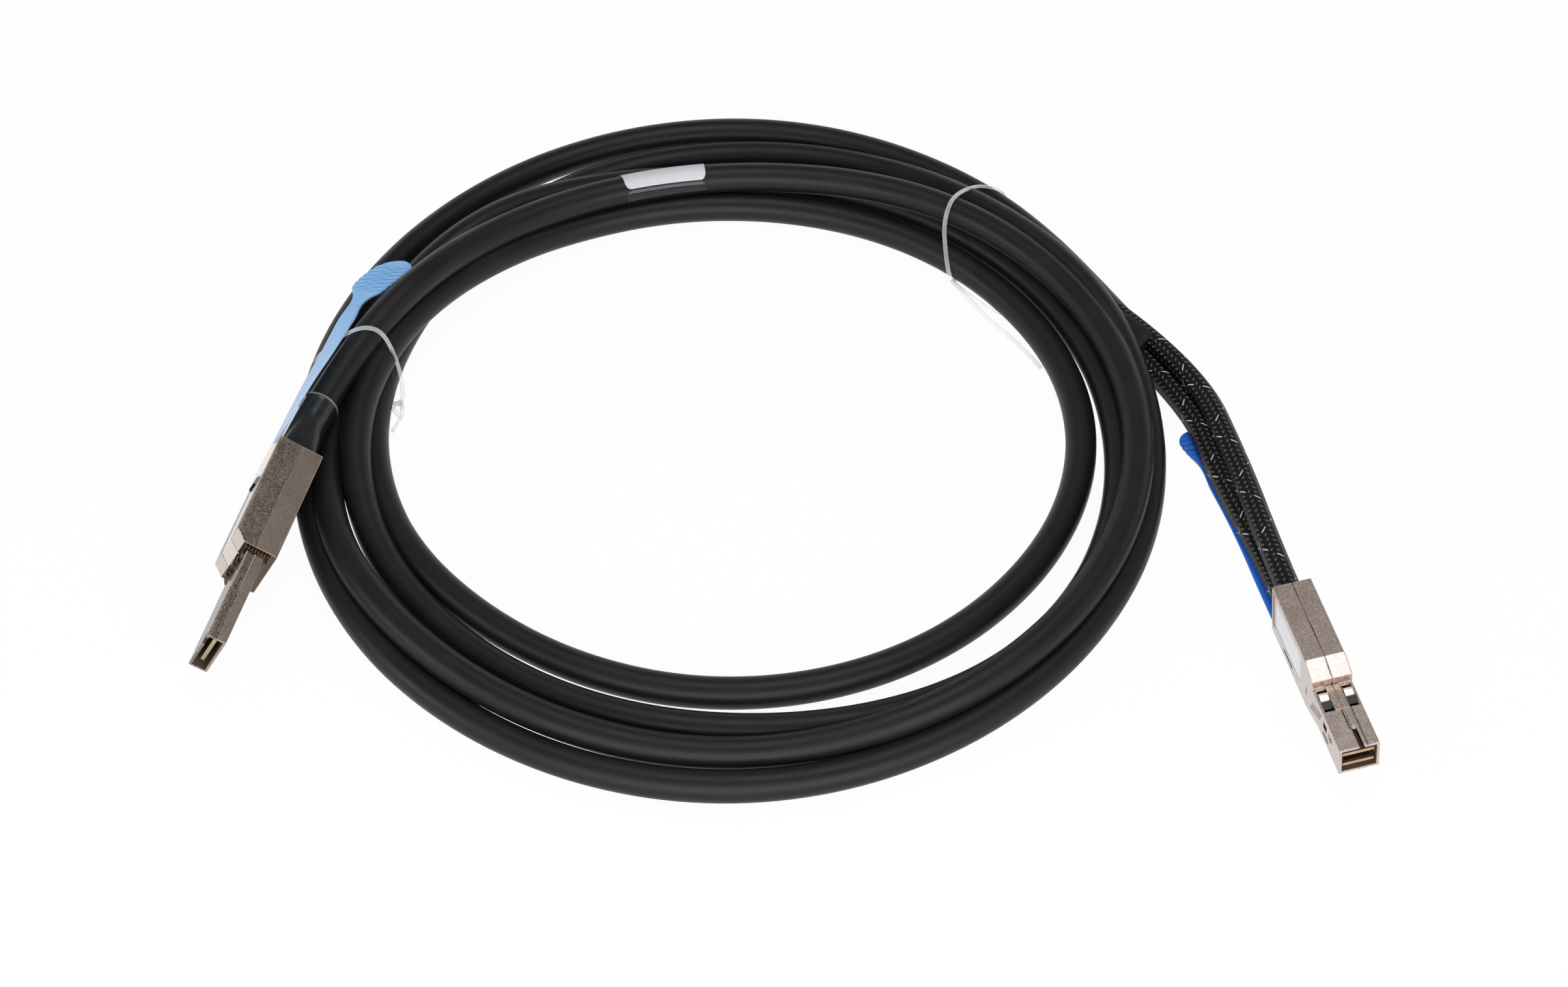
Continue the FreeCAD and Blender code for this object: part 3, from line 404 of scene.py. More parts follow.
# jacket of soft PVC, satin black; shrunk film, duller; nylon, grainy black; white vinyl labels with a smooth coat
jacketPvc = plasticSkin("extruded_black_pvc", "#131314", "#1a1a1b",
                        rough=0.42, grainMm=0.5, pits=0.1, ior=1.53, specular=0.22)
shrinkFilm = plasticSkin("shrunk_black_polyolefin", "#0e0e0f", "#151516",
                         rough=0.55, grainMm=1.4, pits=0.3, specular=0.28)
nylonBlack = plasticSkin("moulded_black_nylon", "#131314", "#1c1c1d", rough=0.5, grainMm=0.3, pits=0.25, ior=1.53)
labelVinyl = plasticSkin("coated_white_vinyl", "#d2d4d9", "#dee0e5", rough=0.45, grainMm=0.25, pits=0.08)
wrapVinyl = plasticSkin("coated_white_vinyl_wrap", "#bcbec3", "#c9cbd0", rough=0.5, grainMm=0.25, pits=0.08)

# polyolefin film over the ferrule: near black and glossier than the jacket, its lip painted paler as a highlight
bootFilm = newMaterial("shrunk_polyolefin_boot")
place = addNode(bootFilm, "TexCoord")
span = addNode(bootFilm, "UVMap", uv_map="span")
split = addNode(bootFilm, "SeparateXYZ", {0: span}).outputs
crease = noise(bootFilm, place, 3, 3.0)
lip = mapRange(bootFilm, split[0], 22.6 * mm, 23.0 * mm)  # the last 0.4 mm or so of the boot
film = mixColour(bootFilm, crease, "#121316", "#212327")
# paler lip: a painted highlight
tint = mixColour(bootFilm, lip, film, "#6d7175")
bump = addNode(bootFilm, "Bump", {"Height": crease, "Strength": 0.25, "Distance": 0.4 * mm})
shaded(bootFilm, {"Base Color": tint, "Roughness": 0.24, "IOR": 1.5, "Normal": bump})


# moulded polypropylene strap: satin, darker in the grip's grooves as painted shade, paler and greyer over the first 55
# mm from the plug
def mouldedStrap(name, pale, even, bright, groove):
    material = newMaterial(name)
    place = addNode(material, "TexCoord")
    span = addNode(material, "UVMap", uv_map="span")
    split = addNode(material, "SeparateXYZ", {0: span}).outputs
    depth = addNode(material, "Attribute", attribute_name="groove")
    cloud = noise(material, place, 8, 3.0)
    grain = noise(material, place, 0.35, 2.0)
    fade = mapRange(material, split[0], 4 * mm, 58 * mm)
    deep = mixColour(material, cloud, even, bright)
    faded = mixColour(material, fade, pale, deep)
    # grooves painted darker: painted shade
    tint = mixColour(material, depth.outputs["Fac"], faded, groove)
    bump = addNode(material, "Bump", {"Height": grain, "Strength": 0.1, "Distance": 0.05 * mm})
    return shaded(material, {"Base Color": tint, "Roughness": 0.4, "IOR": 1.49, "Normal": bump})


lightBlue = mouldedStrap("moulded_light_blue_polypropylene", "#bcd0ea", "#7bb0e2", "#8dbdea", "#5b93cb")
royalBlue = mouldedStrap("moulded_royal_blue_polypropylene", "#1663c8", "#1460c4", "#1b6bd2", "#0c479f")


# glass-cloth epoxy board: lacquered dark on its faces, and the cloth shows at a 0.5 mm pitch in the pale sawn edge
def clothBoard(name, plug, thread, resin, lacquer):
    material = newMaterial(name)
    place = addNode(material, "TexCoord")
    cloth = addNode(material, "TexVoronoi", {"Vector": place.outputs["Object"], "Scale": 1 / (0.5 * mm)})
    tint = mixColour(material, cloth, thread, resin)
    flat = addNode(material, "NewGeometry").outputs["True Normal"]
    outward = addNode(material, "VectorMath", {0: flat, 1: tuple(plug[1][:, 0])}, operation="DOT_PRODUCT")
    sawn = mapRange(material, outward, 0.5, 0.8)
    face = mixColour(material, sawn, lacquer, tint)
    return shaded(material, {"Base Color": face, "Roughness": 0.4, "IOR": 1.55})


greenBoard = clothBoard("glass_epoxy_green_gold", widePlug, "#aa9d74", "#8d8159", "#45422a")
tanBoard = clothBoard("glass_epoxy_tan", narrowPlug, "#b39878", "#937758", "#4a3526")

# clear soft PVC of the twist ties: milky at its edges, with a gloss
tieClear = newMaterial("clear_soft_pvc")
place = addNode(tieClear, "TexCoord")
haze = noise(tieClear, place, 3, 2.0)
tint = mixColour(tieClear, haze, "#dfe2e4", "#f4f6f7")
rim = addNode(tieClear, "LayerWeight", {"Blend": 0.35})
share = mapRange(tieClear, rim.outputs["Facing"], 0, 1, 0.16, 0.92)
shaded(tieClear, {"Base Color": tint, "Roughness": 0.22, "IOR": 1.52}, share)

# clear polyester film over the label's tail: shows only as a gloss on the jacket
laminate = newMaterial("clear_polyester_film")
place = addNode(laminate, "TexCoord")
ripple = noise(laminate, place, 5, 1.0)
bump = addNode(laminate, "Bump", {"Height": ripple, "Strength": 0.2, "Distance": 0.1 * mm})
shaded(laminate, {"Base Color": linear("#1b1b1d"), "Roughness": 0.12, "IOR": 1.6, "Normal": bump}, 0.6)

# black polyester braid, over two and under two: each thread crowns where it floats, and one white marker thread runs
# each way
braid = {"carriers": 12, "layMm": 22.0, "markerWidth": 0.22}
braidPet = newMaterial("braided_black_polyester")
span = addNode(braidPet, "UVMap", uv_map="span")
split = addNode(braidPet, "SeparateXYZ", {0: span}).outputs
lay = mathNode(braidPet, "MULTIPLY", split[0], braid["carriers"] / (braid["layMm"] * mm))
wind = mathNode(braidPet, "MULTIPLY", split[1], float(braid["carriers"]))
count, whole, part = {}, {}, {}
for way in ("ADD", "SUBTRACT"):
    count[way] = mathNode(braidPet, way, lay, wind)
    whole[way] = mathNode(braidPet, "FLOOR", count[way])
    part[way] = mathNode(braidPet, "FRACT", count[way])
crowns, marks = {}, {}
for way, other, shift in (("ADD", "SUBTRACT", 0.0), ("SUBTRACT", "ADD", 3.0)):
    run = mathNode(braidPet, "SUBTRACT", whole[way], count[other])  # so floats stand in columns along the leg
    late = mathNode(braidPet, "SUBTRACT", run, shift)
    turn = mathNode(braidPet, "FLOORED_MODULO", late, 4.0)
    bend = mathNode(braidPet, "MULTIPLY", turn, math.pi / 2)
    swell = mathNode(braidPet, "SINE", bend)  # above 0 only where this thread is on top
    arc = mathNode(braidPet, "MULTIPLY", part[way], math.pi)
    crown = mathNode(braidPet, "SINE", arc)
    crowns[way] = mathNode(braidPet, "MULTIPLY", crown, swell, use_clamp=True)
    cycle = mathNode(braidPet, "FLOORED_MODULO", whole[way], float(braid["carriers"]))
    chosen = mathNode(braidPet, "LESS_THAN", cycle, 0.5)
    middle = mathNode(braidPet, "SUBTRACT", part[way], 0.5)
    off = mathNode(braidPet, "ABSOLUTE", middle)
    slim = mathNode(braidPet, "LESS_THAN", off, braid["markerWidth"] / 2)
    onTop = mathNode(braidPet, "GREATER_THAN", swell, 0.15)
    both = mathNode(braidPet, "MULTIPLY", chosen, slim)
    marks[way] = mathNode(braidPet, "MULTIPLY", both, onTop)
height = mathNode(braidPet, "MAXIMUM", crowns["ADD"], crowns["SUBTRACT"])
marker = mathNode(braidPet, "MAXIMUM", marks["ADD"], marks["SUBTRACT"])
# crowns of the floats painted lighter: a painted highlight
crestHighlight = mapRange(braidPet, height, 0.66, 1.0)
thread = mixColour(braidPet, crestHighlight, "#050506", "#5c5c5e")
tint = mixColour(braidPet, marker, thread, "#c4c4c7")
bump = addNode(braidPet, "Bump", {"Height": height, "Strength": 0.8, "Distance": 0.25 * mm})
shaded(braidPet, {"Base Color": tint, "Roughness": 0.5, "IOR": 1.57, "Specular IOR Level": 0.16, "Normal": bump})
print("finishes made")

# main cable, from the wide plug through the coil to the split

coil = {"centre": (-10.33, 33.94), "radius": 4.3, "pointsPerTurn": 36, "swell": 1.0035, "first": 0.113, "last": 17.78}
# quarter turns from the left, distance from the coil's middle, height of the line
coilTurns = np.array([
    (-0.4, 126, 11), (0, 113.7, 13), (0.12, 106.4, 17.5), (0.25, 100.6, 19.6), (0.45, 97.6, 15.5), (0.7, 94.9, 12.6),
    (1, 94.5, 11.5), (1.5, 101.6, 13), (2, 109.6, 11.7), (2.5, 113, 11), (3, 113.2, 6), (3.5, 114.4, 9.6),
    (3.75, 115, 10), (4, 111, 5.6), (4.25, 109, 7), (4.5, 105.3, 12.4), (4.75, 102, 8), (5, 100.1, 4.3),
    (5.5, 101.2, 4.3), (6, 105.1, 4.3), (6.5, 110, 4.3), (7, 104.4, 4.3), (7.3, 104, 4.3), (7.5, 104.4, 4.6),
    (7.75, 105.6, 7), (8, 104, 11.4), (8.2, 99.8, 12.2), (8.45, 94.7, 9), (8.7, 92.3, 4.6), (9, 89.6, 4.3),
    (9.5, 91.3, 4.3), (10, 95.2, 4.3), (10.5, 93.3, 4.3), (11, 92.8, 4.3), (11.5, 94.8, 4.3), (11.75, 98.6, 4.3),
    (12, 100.8, 4.3), (12.25, 102.3, 4.3), (12.5, 106, 4.3), (12.75, 110.6, 4.3), (13, 112, 4.5), (13.25, 112, 5.7),
    (13.5, 108.5, 11), (13.75, 110.5, 12), (14, 113.5, 6), (14.5, 117.8, 4.3), (15, 122.3, 4.3), (15.5, 120.8, 4.3),
    (16, 118.2, 4.3), (16.3, 119.3, 4.3), (16.5, 120.7, 4.3), (16.75, 122.4, 4.3), (17, 122.7, 4.3),
    (17.44, 117.6, 4.3), (17.66, 114.8, 4.3), (17.8, 117, 5), (17.95, 122.4, 6)])


def fromCentre(x, y, z):
    return np.array((coil["centre"][0] + x, coil["centre"][1] + y, z)) * mm


leadRoute = [placed(widePlug, (x, 0, 0)) for x in (10.5, -4, -17)]
quarter = np.arange(coil["first"], coil["last"], 4 / coil["pointsPerTurn"])
distance, height = through(coilTurns[:, 0], coilTurns[:, 1:], quarter).T
height = np.maximum(height, coil["radius"])  # none of it under the table
bearing = np.radians(180 - 90 * quarter)
turns = np.stack([coil["centre"][0] + distance * coil["swell"] * np.cos(bearing),
                  coil["centre"][1] + distance * coil["swell"] * np.sin(bearing), height], -1) * mm
cableRoute = np.vstack([leadRoute, turns])
cableLine = pointsOf(routeCurve("cableLine", cableRoute))
cable = addPiece("main_cable", routeCurve("main_cable", cableRoute, coil["radius"] * mm, steps=6), [jacketPvc],
                 "cable", ["cable_coil", "cable_lead"])

# boot of the wide plug: a sleeve shrunk over the ferrule and the cable, squared at the plug and round at its end

boot = {"reach": (9.2, 32.6), "plugHalf": (6.4, 5.2), "wall": 0.55, "squareness": 5.0, "lip": 0.3, "lipAt": 0.985,
        "lipWidth": 0.015, "easeFrom": 0.08, "easeOver": 0.62, "wrinkle": 0.05}
station = np.linspace(0, 1, 70)
reach = boot["reach"][0] * mm + station * (boot["reach"][1] - boot["reach"][0]) * mm
line = (pointsAlong(cableLine, reach) / mm - widePlug[0]) @ widePlug[1]
across, up = levelFrame(line)
ease = np.clip((station - boot["easeFrom"]) / boot["easeOver"], 0, 1)
ease = ease**2 * (3 - 2 * ease)
# superellipse whose power falls from square to round as it leaves the plug
t = np.linspace(0, 2 * np.pi, 72, endpoint=False)
power = 2 / (boot["squareness"] + (2 - boot["squareness"]) * ease[:, None])
px = np.sign(np.cos(t)) * np.abs(np.cos(t)) ** power
py = np.sign(np.sin(t)) * np.abs(np.sin(t)) ** power
lip = boot["lip"] * np.exp(-((station - boot["lipAt"]) / boot["lipWidth"]) ** 2)
wrinkle = boot["wrinkle"] * np.sin(25 * station)[:, None] * np.cos(3 * t + 1)[None] * (1 - ease[:, None])
roundHalf = coil["radius"] + boot["wall"]
x, y = ((half + (roundHalf - half) * ease + lip)[:, None] * p + wrinkle for half, p in zip(boot["plugHalf"], (px, py)))
addGrid("shrink_boot", [{"grid": placed(widePlug, carried(line, across, up, x, y))}], [bootFilm],
        "cable", ["wide_plug_boot"])

# split sleeve and the two braided legs of the narrow plug

sleeve = {"origin": (103.5, 43, 6.0), "yaw": -54.0, "roll": 16.0, "length": 18.6, "waist": 0.22}
sleeveFrame = plugFrame(np.array(sleeve["origin"]) + (*coil["centre"], 0), sleeve["yaw"], pitch=0, roll=sleeve["roll"])
# distance along, half width, half height; the section is pinched at its waist between the legs
ovals = np.array([(0, 4.75, 4.6), (6, 5.3, 4.7), (11, 6.1, 4.5), (18, 6.4, 4.1), (sleeve["length"], 6.2, 3.9)])
step = np.linspace(0, sleeve["length"], 50)
half = through(ovals[:, 0], ovals[:, 1:], step)
cx, cy = barProfile(56, 2.2)
waist = 1 - sleeve["waist"] * np.clip(step / 17, 0, 1)[:, None] * np.exp(-(cx / 0.35) ** 2)[None]
local = np.stack([np.broadcast_to(step[:, None], waist.shape), half[:, :1] * cx, half[:, 1:] * cy * waist], -1)
sleevePiece = addGrid("split_sleeve", [{"grid": placed(sleeveFrame, local)}], [shrinkFilm], "cable",
                      ["breakout_sleeve"])

legs = {"radius": 3.2, "ridges": 5, "ridgeDepth": 0.055}
legRoutes = {
    "upper_braided_leg": [fromCentre(108.3, 42.2, 6.8), fromCentre(128.2, 19.4, 7.4),
                          placed(narrowPlug, (-50, 1.9, 10.35)), placed(narrowPlug, (-14, 0, 11.55)),
                          placed(narrowPlug, (6.2, 0, 11.55))],
    "lower_braided_leg": [fromCentre(110, 33.8, 3.9), fromCentre(126.6, 10.2, 3.5), fromCentre(132, -16.7, 3.8),
                          placed(narrowPlug, (-14, 0, 4.75)), placed(narrowPlug, (6.2, 0, 4.75))]}
for name, route in legRoutes.items():
    line = pointsOf(routeCurve(name + "_line", np.array(route), steps=40))
    across, up = levelFrame(line)
    t = np.linspace(0, 2 * np.pi, 48, endpoint=False)
    # round section with shallow lengthwise ridges: radius times 1 + depth * cos(ridges * angle)
    r = legs["radius"] * mm * (1 + legs["ridgeDepth"] * np.cos(legs["ridges"] * t))
    tube = carried(line, across, up, r * np.cos(t), r * np.sin(t))
    mesh = gridMesh(name, [{"grid": tube, "along": runLength(line)}])
    addPiece(name + "_sleeve", mesh, [braidPet], "cable", [name])
print("boot, split and legs made")

# pull tabs: a flat strap from the latch, turning as it goes, ending in a ribbed grip

ribs = {"pitch": 1.94, "width": 0.32, "pinch": 0.035}
wideTab = {"width": 5.0, "thick": 1.2, "ribDepth": 0.22, "ribSlant": 0.52, "gripFrom": 60.5}
# x, y, z in the plug's axes, then the turn (degrees, or a slope for the narrow strap) and the share of the width
wideStations = np.array([
    (9, 0, 6.15, 0, 1), (0, 0, 6.15, 0, 1), (-12, 1.6, 5.9, 4, 1), (-24.9, 2.6, 5.2, 15, 1), (-37.1, 2.8, 4.1, 28, 1),
    (-49.3, 2.9, 3.2, 42, 1), (-60, 2.0, 2.0, 54, 1.06), (-63, 1.8, 1.4, 57, 1.82), (-66.4, 1.8, 0.4, 59, 2.0),
    (-71.4, 2, -1.7, 61, 2.0), (-77.4, 2.5, -4.8, 62, 1.96)])
narrowTab = {"width": 8.4, "thick": 1.0, "ribDepth": 0.12, "ribSlant": 0.0, "gripFrom": 61.5}
narrowStations = np.array([
    (13, 0, -0.05, 0, 1), (0, 0, -0.05, 0, 1), (-13, -0.5, 0.7, 0.08, 0.98), (-29, -1.1, 1.5, 0.1, 0.9),
    (-38, -1.8, 2, 0.1, 0.83), (-50, -3.1, 2.6, 0.1, 0.74), (-60, -4.0, 3.2, 0.1, 0.7), (-62.5, -4, 3.35, 0.1, 0.95),
    (-65.5, -4.5, 3.55, 0.1, 1.08), (-71.6, -5.5, 3.9, 0.1, 1.06)])


# strap: a rounded bar carried through the stations; on the grip, grooves shaped as a bell curve repeat every pitch of
# distance plus slant
def strapGrid(plug, stations, tab, wideWay):
    first, grip, last = stations[0, 0], -tab["gripFrom"], stations[-1, 0]
    at = np.r_[np.linspace(first, grip, 90)[:-1], np.linspace(grip, last, 130)]
    rows = through(-stations[:, 0], stations, -at)
    path = rows[:, :3]
    tangent = unit(np.gradient(path, axis=0))
    across = unit(wideWay(rows[:, 3]))
    up = unit(np.cross(tangent, across))
    px, py = barProfile(56, 5)
    blunt = tab["width"] / 2 * stations[-1, 4]  # the free end is a half round
    end = np.sqrt(np.clip(1 - np.clip((-at + last + blunt) / blunt, 0, 1) ** 2, 0.01, 1))
    width = tab["width"] / 2 * rows[:, 4] * end
    x = width[:, None] * px
    ribbed = np.clip((-at - tab["gripFrom"] - 1) / 2, 0, 1) * np.clip((-last - 2 + at) / 1.5, 0, 1)
    phase = np.mod((at[:, None] + tab["ribSlant"] * x) / ribs["pitch"], 1) - 0.5
    groove = np.exp(-((phase * ribs["pitch"] / ribs["width"]) ** 2)) * ribbed[:, None]
    x = x * (1 - ribs["pinch"] * groove)
    y = py * (tab["thick"] / 2 - tab["ribDepth"] * groove)
    return {"grid": placed(plug, carried(path, across, up, x, y)), "along": -at * mm, "groove": groove}


# the way across a strap: turned by degrees round the plug's length, or sloping down to one side
def turning(degrees):
    return np.stack([0 * degrees, np.cos(np.radians(degrees)), -np.sin(np.radians(degrees))], -1)


def sloping(slope):
    return np.stack([0 * slope, 1 + 0 * slope, -slope], -1)


addGrid("wide_pull_strap", [strapGrid(widePlug, wideStations, wideTab, turning)], [lightBlue],
        "wide_tab", ["wide_plug_pull_tab"])
addGrid("narrow_pull_strap", [strapGrid(narrowPlug, narrowStations, narrowTab, sloping)], [royalBlue],
        "hd_tab", ["hd_plug_pull_tab"])
print("pull tabs made")

# wrap label on the cable: white part behind, clear tail in front

label = {"start": (-46.1, 126), "end": (-21.8, 129.2), "height": 12, "white": (-165, 8), "tail": (14, 100),
         "corner": 1.7, "facing": 48.4, "glue": 0.03, "whiteThick": 0.2, "tailThick": 0.16}
run = runLength(cableLine)
spots = []
for end in ("start", "end"):
    flatGap = np.linalg.norm(cableLine[:, :2] - np.array(label[end]) * mm, axis=1)
    spots.append(int((flatGap + 0.5 * np.abs(cableLine[:, 2] - label["height"] * mm)).argmin()))
along = np.linspace(run[min(spots)], run[max(spots)], 60)
line = pointsAlong(cableLine, along)
tangent = unit(np.gradient(line, axis=0))
tilt = math.radians(label["facing"])
toEye = np.array((0, -math.cos(tilt), math.sin(tilt)))
front = unit(toEye - tangent * (tangent @ toEye)[:, None])
side = np.cross(tangent, front)
# how far a rounded corner pulls the edge in: corner - sqrt(corner^2 - (corner - distance to the end)^2)
inset = np.clip(label["corner"] - np.minimum(along - along[0], along[-1] - along) / mm, 0, label["corner"])
pull = np.degrees((label["corner"] - np.sqrt(label["corner"] ** 2 - inset**2)) / coil["radius"])
skins = []
# a skin of the cable: radius plus a film's thickness, between two angles round the line, out and back
for number, part in enumerate(("white", "tail")):
    low, high = label[part]
    ends = (low + pull * number, high - pull * (1 - number))
    a = np.radians(ends[0][:, None] + (ends[1] - ends[0])[:, None] * np.linspace(0, 1, 36))
    a = np.hstack([a, a[:, ::-1]])
    r = (coil["radius"] + np.repeat((label[part + "Thick"], label["glue"]), 36)) * mm
    skins.append({"grid": carried(line, side, front, r * np.sin(a), r * np.cos(a)), "finish": number})
labelPiece = addGrid("wrap_label", skins, [wrapVinyl, laminate], "cable", ["cable_label"])

# twist ties: a flat clear band round the bundle, twisted together on the inside, with two loose tails

ties = {"width": 1.2, "thick": 0.75}
tieRoutes = {
    "left_twist_tie": {
        "bearing": 162,
        "loop": [(-113.3, 54.7, 23.2), (-109, 54.3, 21.7), (-106.5, 53.3, 15.5), (-104.8, 51.6, 8), (-104.2, 48, 3.4),
                 (-104.6, 45, 0.8), (-112, 50, 0.7), (-124, 56, 0.7), (-130.4, 57, 3.5), (-129.2, 56.2, 8.6),
                 (-124.5, 57, 13.5), (-118, 54, 21.8)],
        "tails": [[(-104.9, 46, 2.2), (-103.9, 42.6, 3.4), (-104, 40, 2.2), (-106.4, 35.5, 1.2)],
                  [(-104.9, 46, 2.2), (-106.3, 42.3, 4.4), (-105.8, 39.6, 4.6), (-103.9, 39.4, 2.4)]]},
    "right_twist_tie": {
        "bearing": 56,
        "loop": [(61.3, 127.2, 9.6), (56, 119.6, 15), (51.9, 112.4, 18.4), (50, 108.4, 16.6), (49.3, 106.4, 11.8),
                 (49.6, 99.4, 9.4), (50.4, 95, 5.2), (51.8, 93.8, 1), (58, 104, 0.7), (66, 120, 0.7), (69, 126.6, 2.6),
                 (67.4, 126.4, 8.2)],
        "tails": [[(51.6, 94, 2.4), (54.6, 89.4, 3), (60, 83.6, 2.4), (65.4, 81.6, 1.4)],
                  [(51.6, 94, 2.4), (55, 88.6, 2.2), (62, 78.4, 1.4), (70, 69.6, 1), (75.6, 60.4, 0.8)]]}}
for name, tie in tieRoutes.items():
    way = np.radians(tie["bearing"])
    sideways = np.array((-math.sin(way), math.cos(way), 0))
    px, py = barProfile(20, 4)
    parts = []
    loop = pointsOf(routeCurve(name + "_line", np.array(tie["loop"]) * mm, steps=16, closed=True))
    loop = np.vstack([loop, loop[:1]])
    for line in [loop] + [pointsOf(routeCurve(name + "_tail", np.array(t) * mm, steps=16)) for t in tie["tails"]]:
        tangent = unit(np.gradient(line, axis=0))
        across = unit(sideways - tangent * (tangent @ sideways)[:, None])
        up = np.cross(tangent, across)
        x, y = px * ties["width"] / 2 * mm, py * ties["thick"] / 2 * mm
        parts.append({"grid": carried(line, across, up, x, y)})
    addPiece(name + "_band", gridMesh(name, parts), [tieClear], "cable", [name])
print("label and ties made")

# shell details of the two plugs

# a rounded bar laid between stations of (x, y, z, half width, half height) in a plug's axes, wide along one axis
def laidBar(plug, stations, wideWay, power=6, count=24):
    stations = np.asarray(stations, float)
    chord = runLength(stations[:, :3])
    rows = through(chord, stations, np.linspace(0, chord[-1], 6 * len(stations)))
    tangent = unit(np.gradient(rows[:, :3], axis=0))
    across = unit(np.asarray(wideWay, float) - tangent * (tangent @ np.asarray(wideWay, float))[:, None])
    px, py = barProfile(count, power)
    x, y = rows[:, 3:4] * px, rows[:, 4:5] * py
    return {"grid": placed(plug, carried(rows[:, :3], across, np.cross(tangent, across), x, y))}


# a straight one, the same from end to end
def straightBar(plug, start, end, half, high, wideWay, power):
    return laidBar(plug, [(*start, half, high), (*end, half, high)], wideWay, power)


lengthwise, crosswise, upright = (1, 0, 0), (0, 1, 0), (0, 0, 1)

# bridge of the wide shell over the strap: a shallow channel section carried along the plug
bridge = {"reach": (-0.4, 10.7), "foot": 6.0, "half": 4.2, "top": 7.05, "seat": 6.2, "chamfer": 0.1, "innerFoot": 4.7,
          "innerHalf": 3.6, "innerTop": 6.82}
outer = np.array([(bridge["foot"], bridge["seat"]), (bridge["half"], bridge["top"] - bridge["chamfer"]),
                  (bridge["half"] - bridge["chamfer"], bridge["top"])])
inner = np.array([(bridge["innerFoot"], bridge["seat"]), (bridge["innerHalf"], bridge["innerTop"])])
mirror = (-1, 1)
section = np.vstack([outer * mirror, outer[::-1], inner, inner[::-1] * mirror])
local = np.array([[(x, y, z) for y, z in section] for x in np.linspace(*bridge["reach"], 8)])
addGrid("wide_shell_bridge", [{"grid": placed(widePlug, local)}], [bridgeNickel], "cable")

# two ridges that run out along the nose
noseRidge = {"seats": (1.2, -1.05),
             "stations": [(36.0, 8.9, 0.42, 0.4), (40, 8.9, 0.34, 0.3), (47.5, 8.85, 0.16, 0.06)]}
ridges = [laidBar(widePlug, [(x, y, z, half, high) for x, y, half, high in noseRidge["stations"]], upright, 3)
          for z in noseRidge["seats"]]
addGrid("wide_nose_ridges", ridges, [castFine], "cable")

# raised strips along the narrow plug's nose: from, to, across, half width
noseStrips = {"seat": 12.16, "high": 0.24,
              "spans": ((32, 39.9, 0, 1.75), (39.7, 46, 0.8, 1.15), (46, 52.2, 1.52, 0.43))}
z, high = noseStrips["seat"], noseStrips["high"]
strips = [straightBar(narrowPlug, (a, y, z), (b, y, z), half, high, crosswise, 12)
          for a, b, y, half in noseStrips["spans"]]
addGrid("narrow_nose_strips", strips, [castNarrow], "cable")

# left side of the narrow plug: a raised frame at the rear, and a flush plate that closes the solid's upright vents
leftSide = {"wall": -5.25, "recess": -5.17, "frameAlong": (0.5, 2.7), "frameUp": (3, 15.2), "bar": (0.2, 0.1),
            "plateAlong": (33, 37.2), "plateUp": 7.4, "plateHalf": (2, 0.025)}
wall, recess = leftSide["wall"], leftSide["recess"]
(rear, fore), (low, high) = leftSide["frameAlong"], leftSide["frameUp"]
bar = leftSide["bar"]
frameBars = [straightBar(narrowPlug, (x, wall, low), (x, wall, high), *bar, lengthwise, 8) for x in (rear, fore)]
frameBars += [straightBar(narrowPlug, (rear, wall, z), (fore, wall, z), *bar, upright, 8) for z in (low, high)]
ends = [(x, wall, leftSide["plateUp"]) for x in leftSide["plateAlong"]]
frameBars.append(straightBar(narrowPlug, *ends, *leftSide["plateHalf"], upright, 16))
addGrid("narrow_side_frame", frameBars, [castNarrow], "cable")

# dark slots and slanted ribs pressed into that wall, the slots' dark and the ribs' darker tone painted shade, and two
# lines along the nose's top: from, to, half width, wide way, and 0 for a slot or 1 for a shallow rib
roof = 12.1
pressed = (
    ((9.6, recess, 2.75), (16.4, recess, 2.75), 0.43, upright, 0),
    ((27.4, wall, 5.1), (27.4, wall, 8.1), 0.2, lengthwise, 1),
    ((30.6, wall, 4), (37.6, wall, 7.2), 0.18, upright, 1),
    ((31.5, wall, 5.6), (38.2, wall, 8.5), 0.18, upright, 1),
    ((32.4, wall, 7.2), (38.8, wall, 9.7), 0.18, upright, 1),
    ((40.4, recess, 8.7), (42.8, recess, 8.7), 1.05, upright, 0),
    ((40.4, wall, 5.3), (44, wall, 5.3), 0.6, upright, 1),
    ((40, -0.46, roof), (46.5, -0.46, roof), 0.1, crosswise, 0),
    ((40, 2.07, roof), (52.2, 2.07, roof), 0.1, crosswise, 0),
    ((1.1, wall, 3.5), (1.1, wall, 14.8), 0.2, lengthwise, 1),
    ((2.1, wall, 3.5), (2.1, wall, 14.8), 0.16, lengthwise, 1))
slots = [straightBar(narrowPlug, a, b, half, 0.06, way, 8) | {"finish": kind} for a, b, half, way, kind in pressed]
addGrid("narrow_side_slots", slots, [slotShade, ribShade], "cable")

# dark bars under the nose's windows and its keying slot, painted shade for the hollow below: from, to, across, height,
# half width
shadeSpans = ((32, 40, -3.25, 9.95, 1.6), (32, 40, 3.25, 9.95, 1.6), (45.6, 51.6, 0.45, 10.9, 0.7))
shadeBars = [straightBar(narrowPlug, (a, y, z), (b, y, z), half, 0.1, crosswise, 8) for a, b, y, z, half in shadeSpans]
addGrid("narrow_nose_shade_bars", shadeBars, [nylonBlack], "cable")

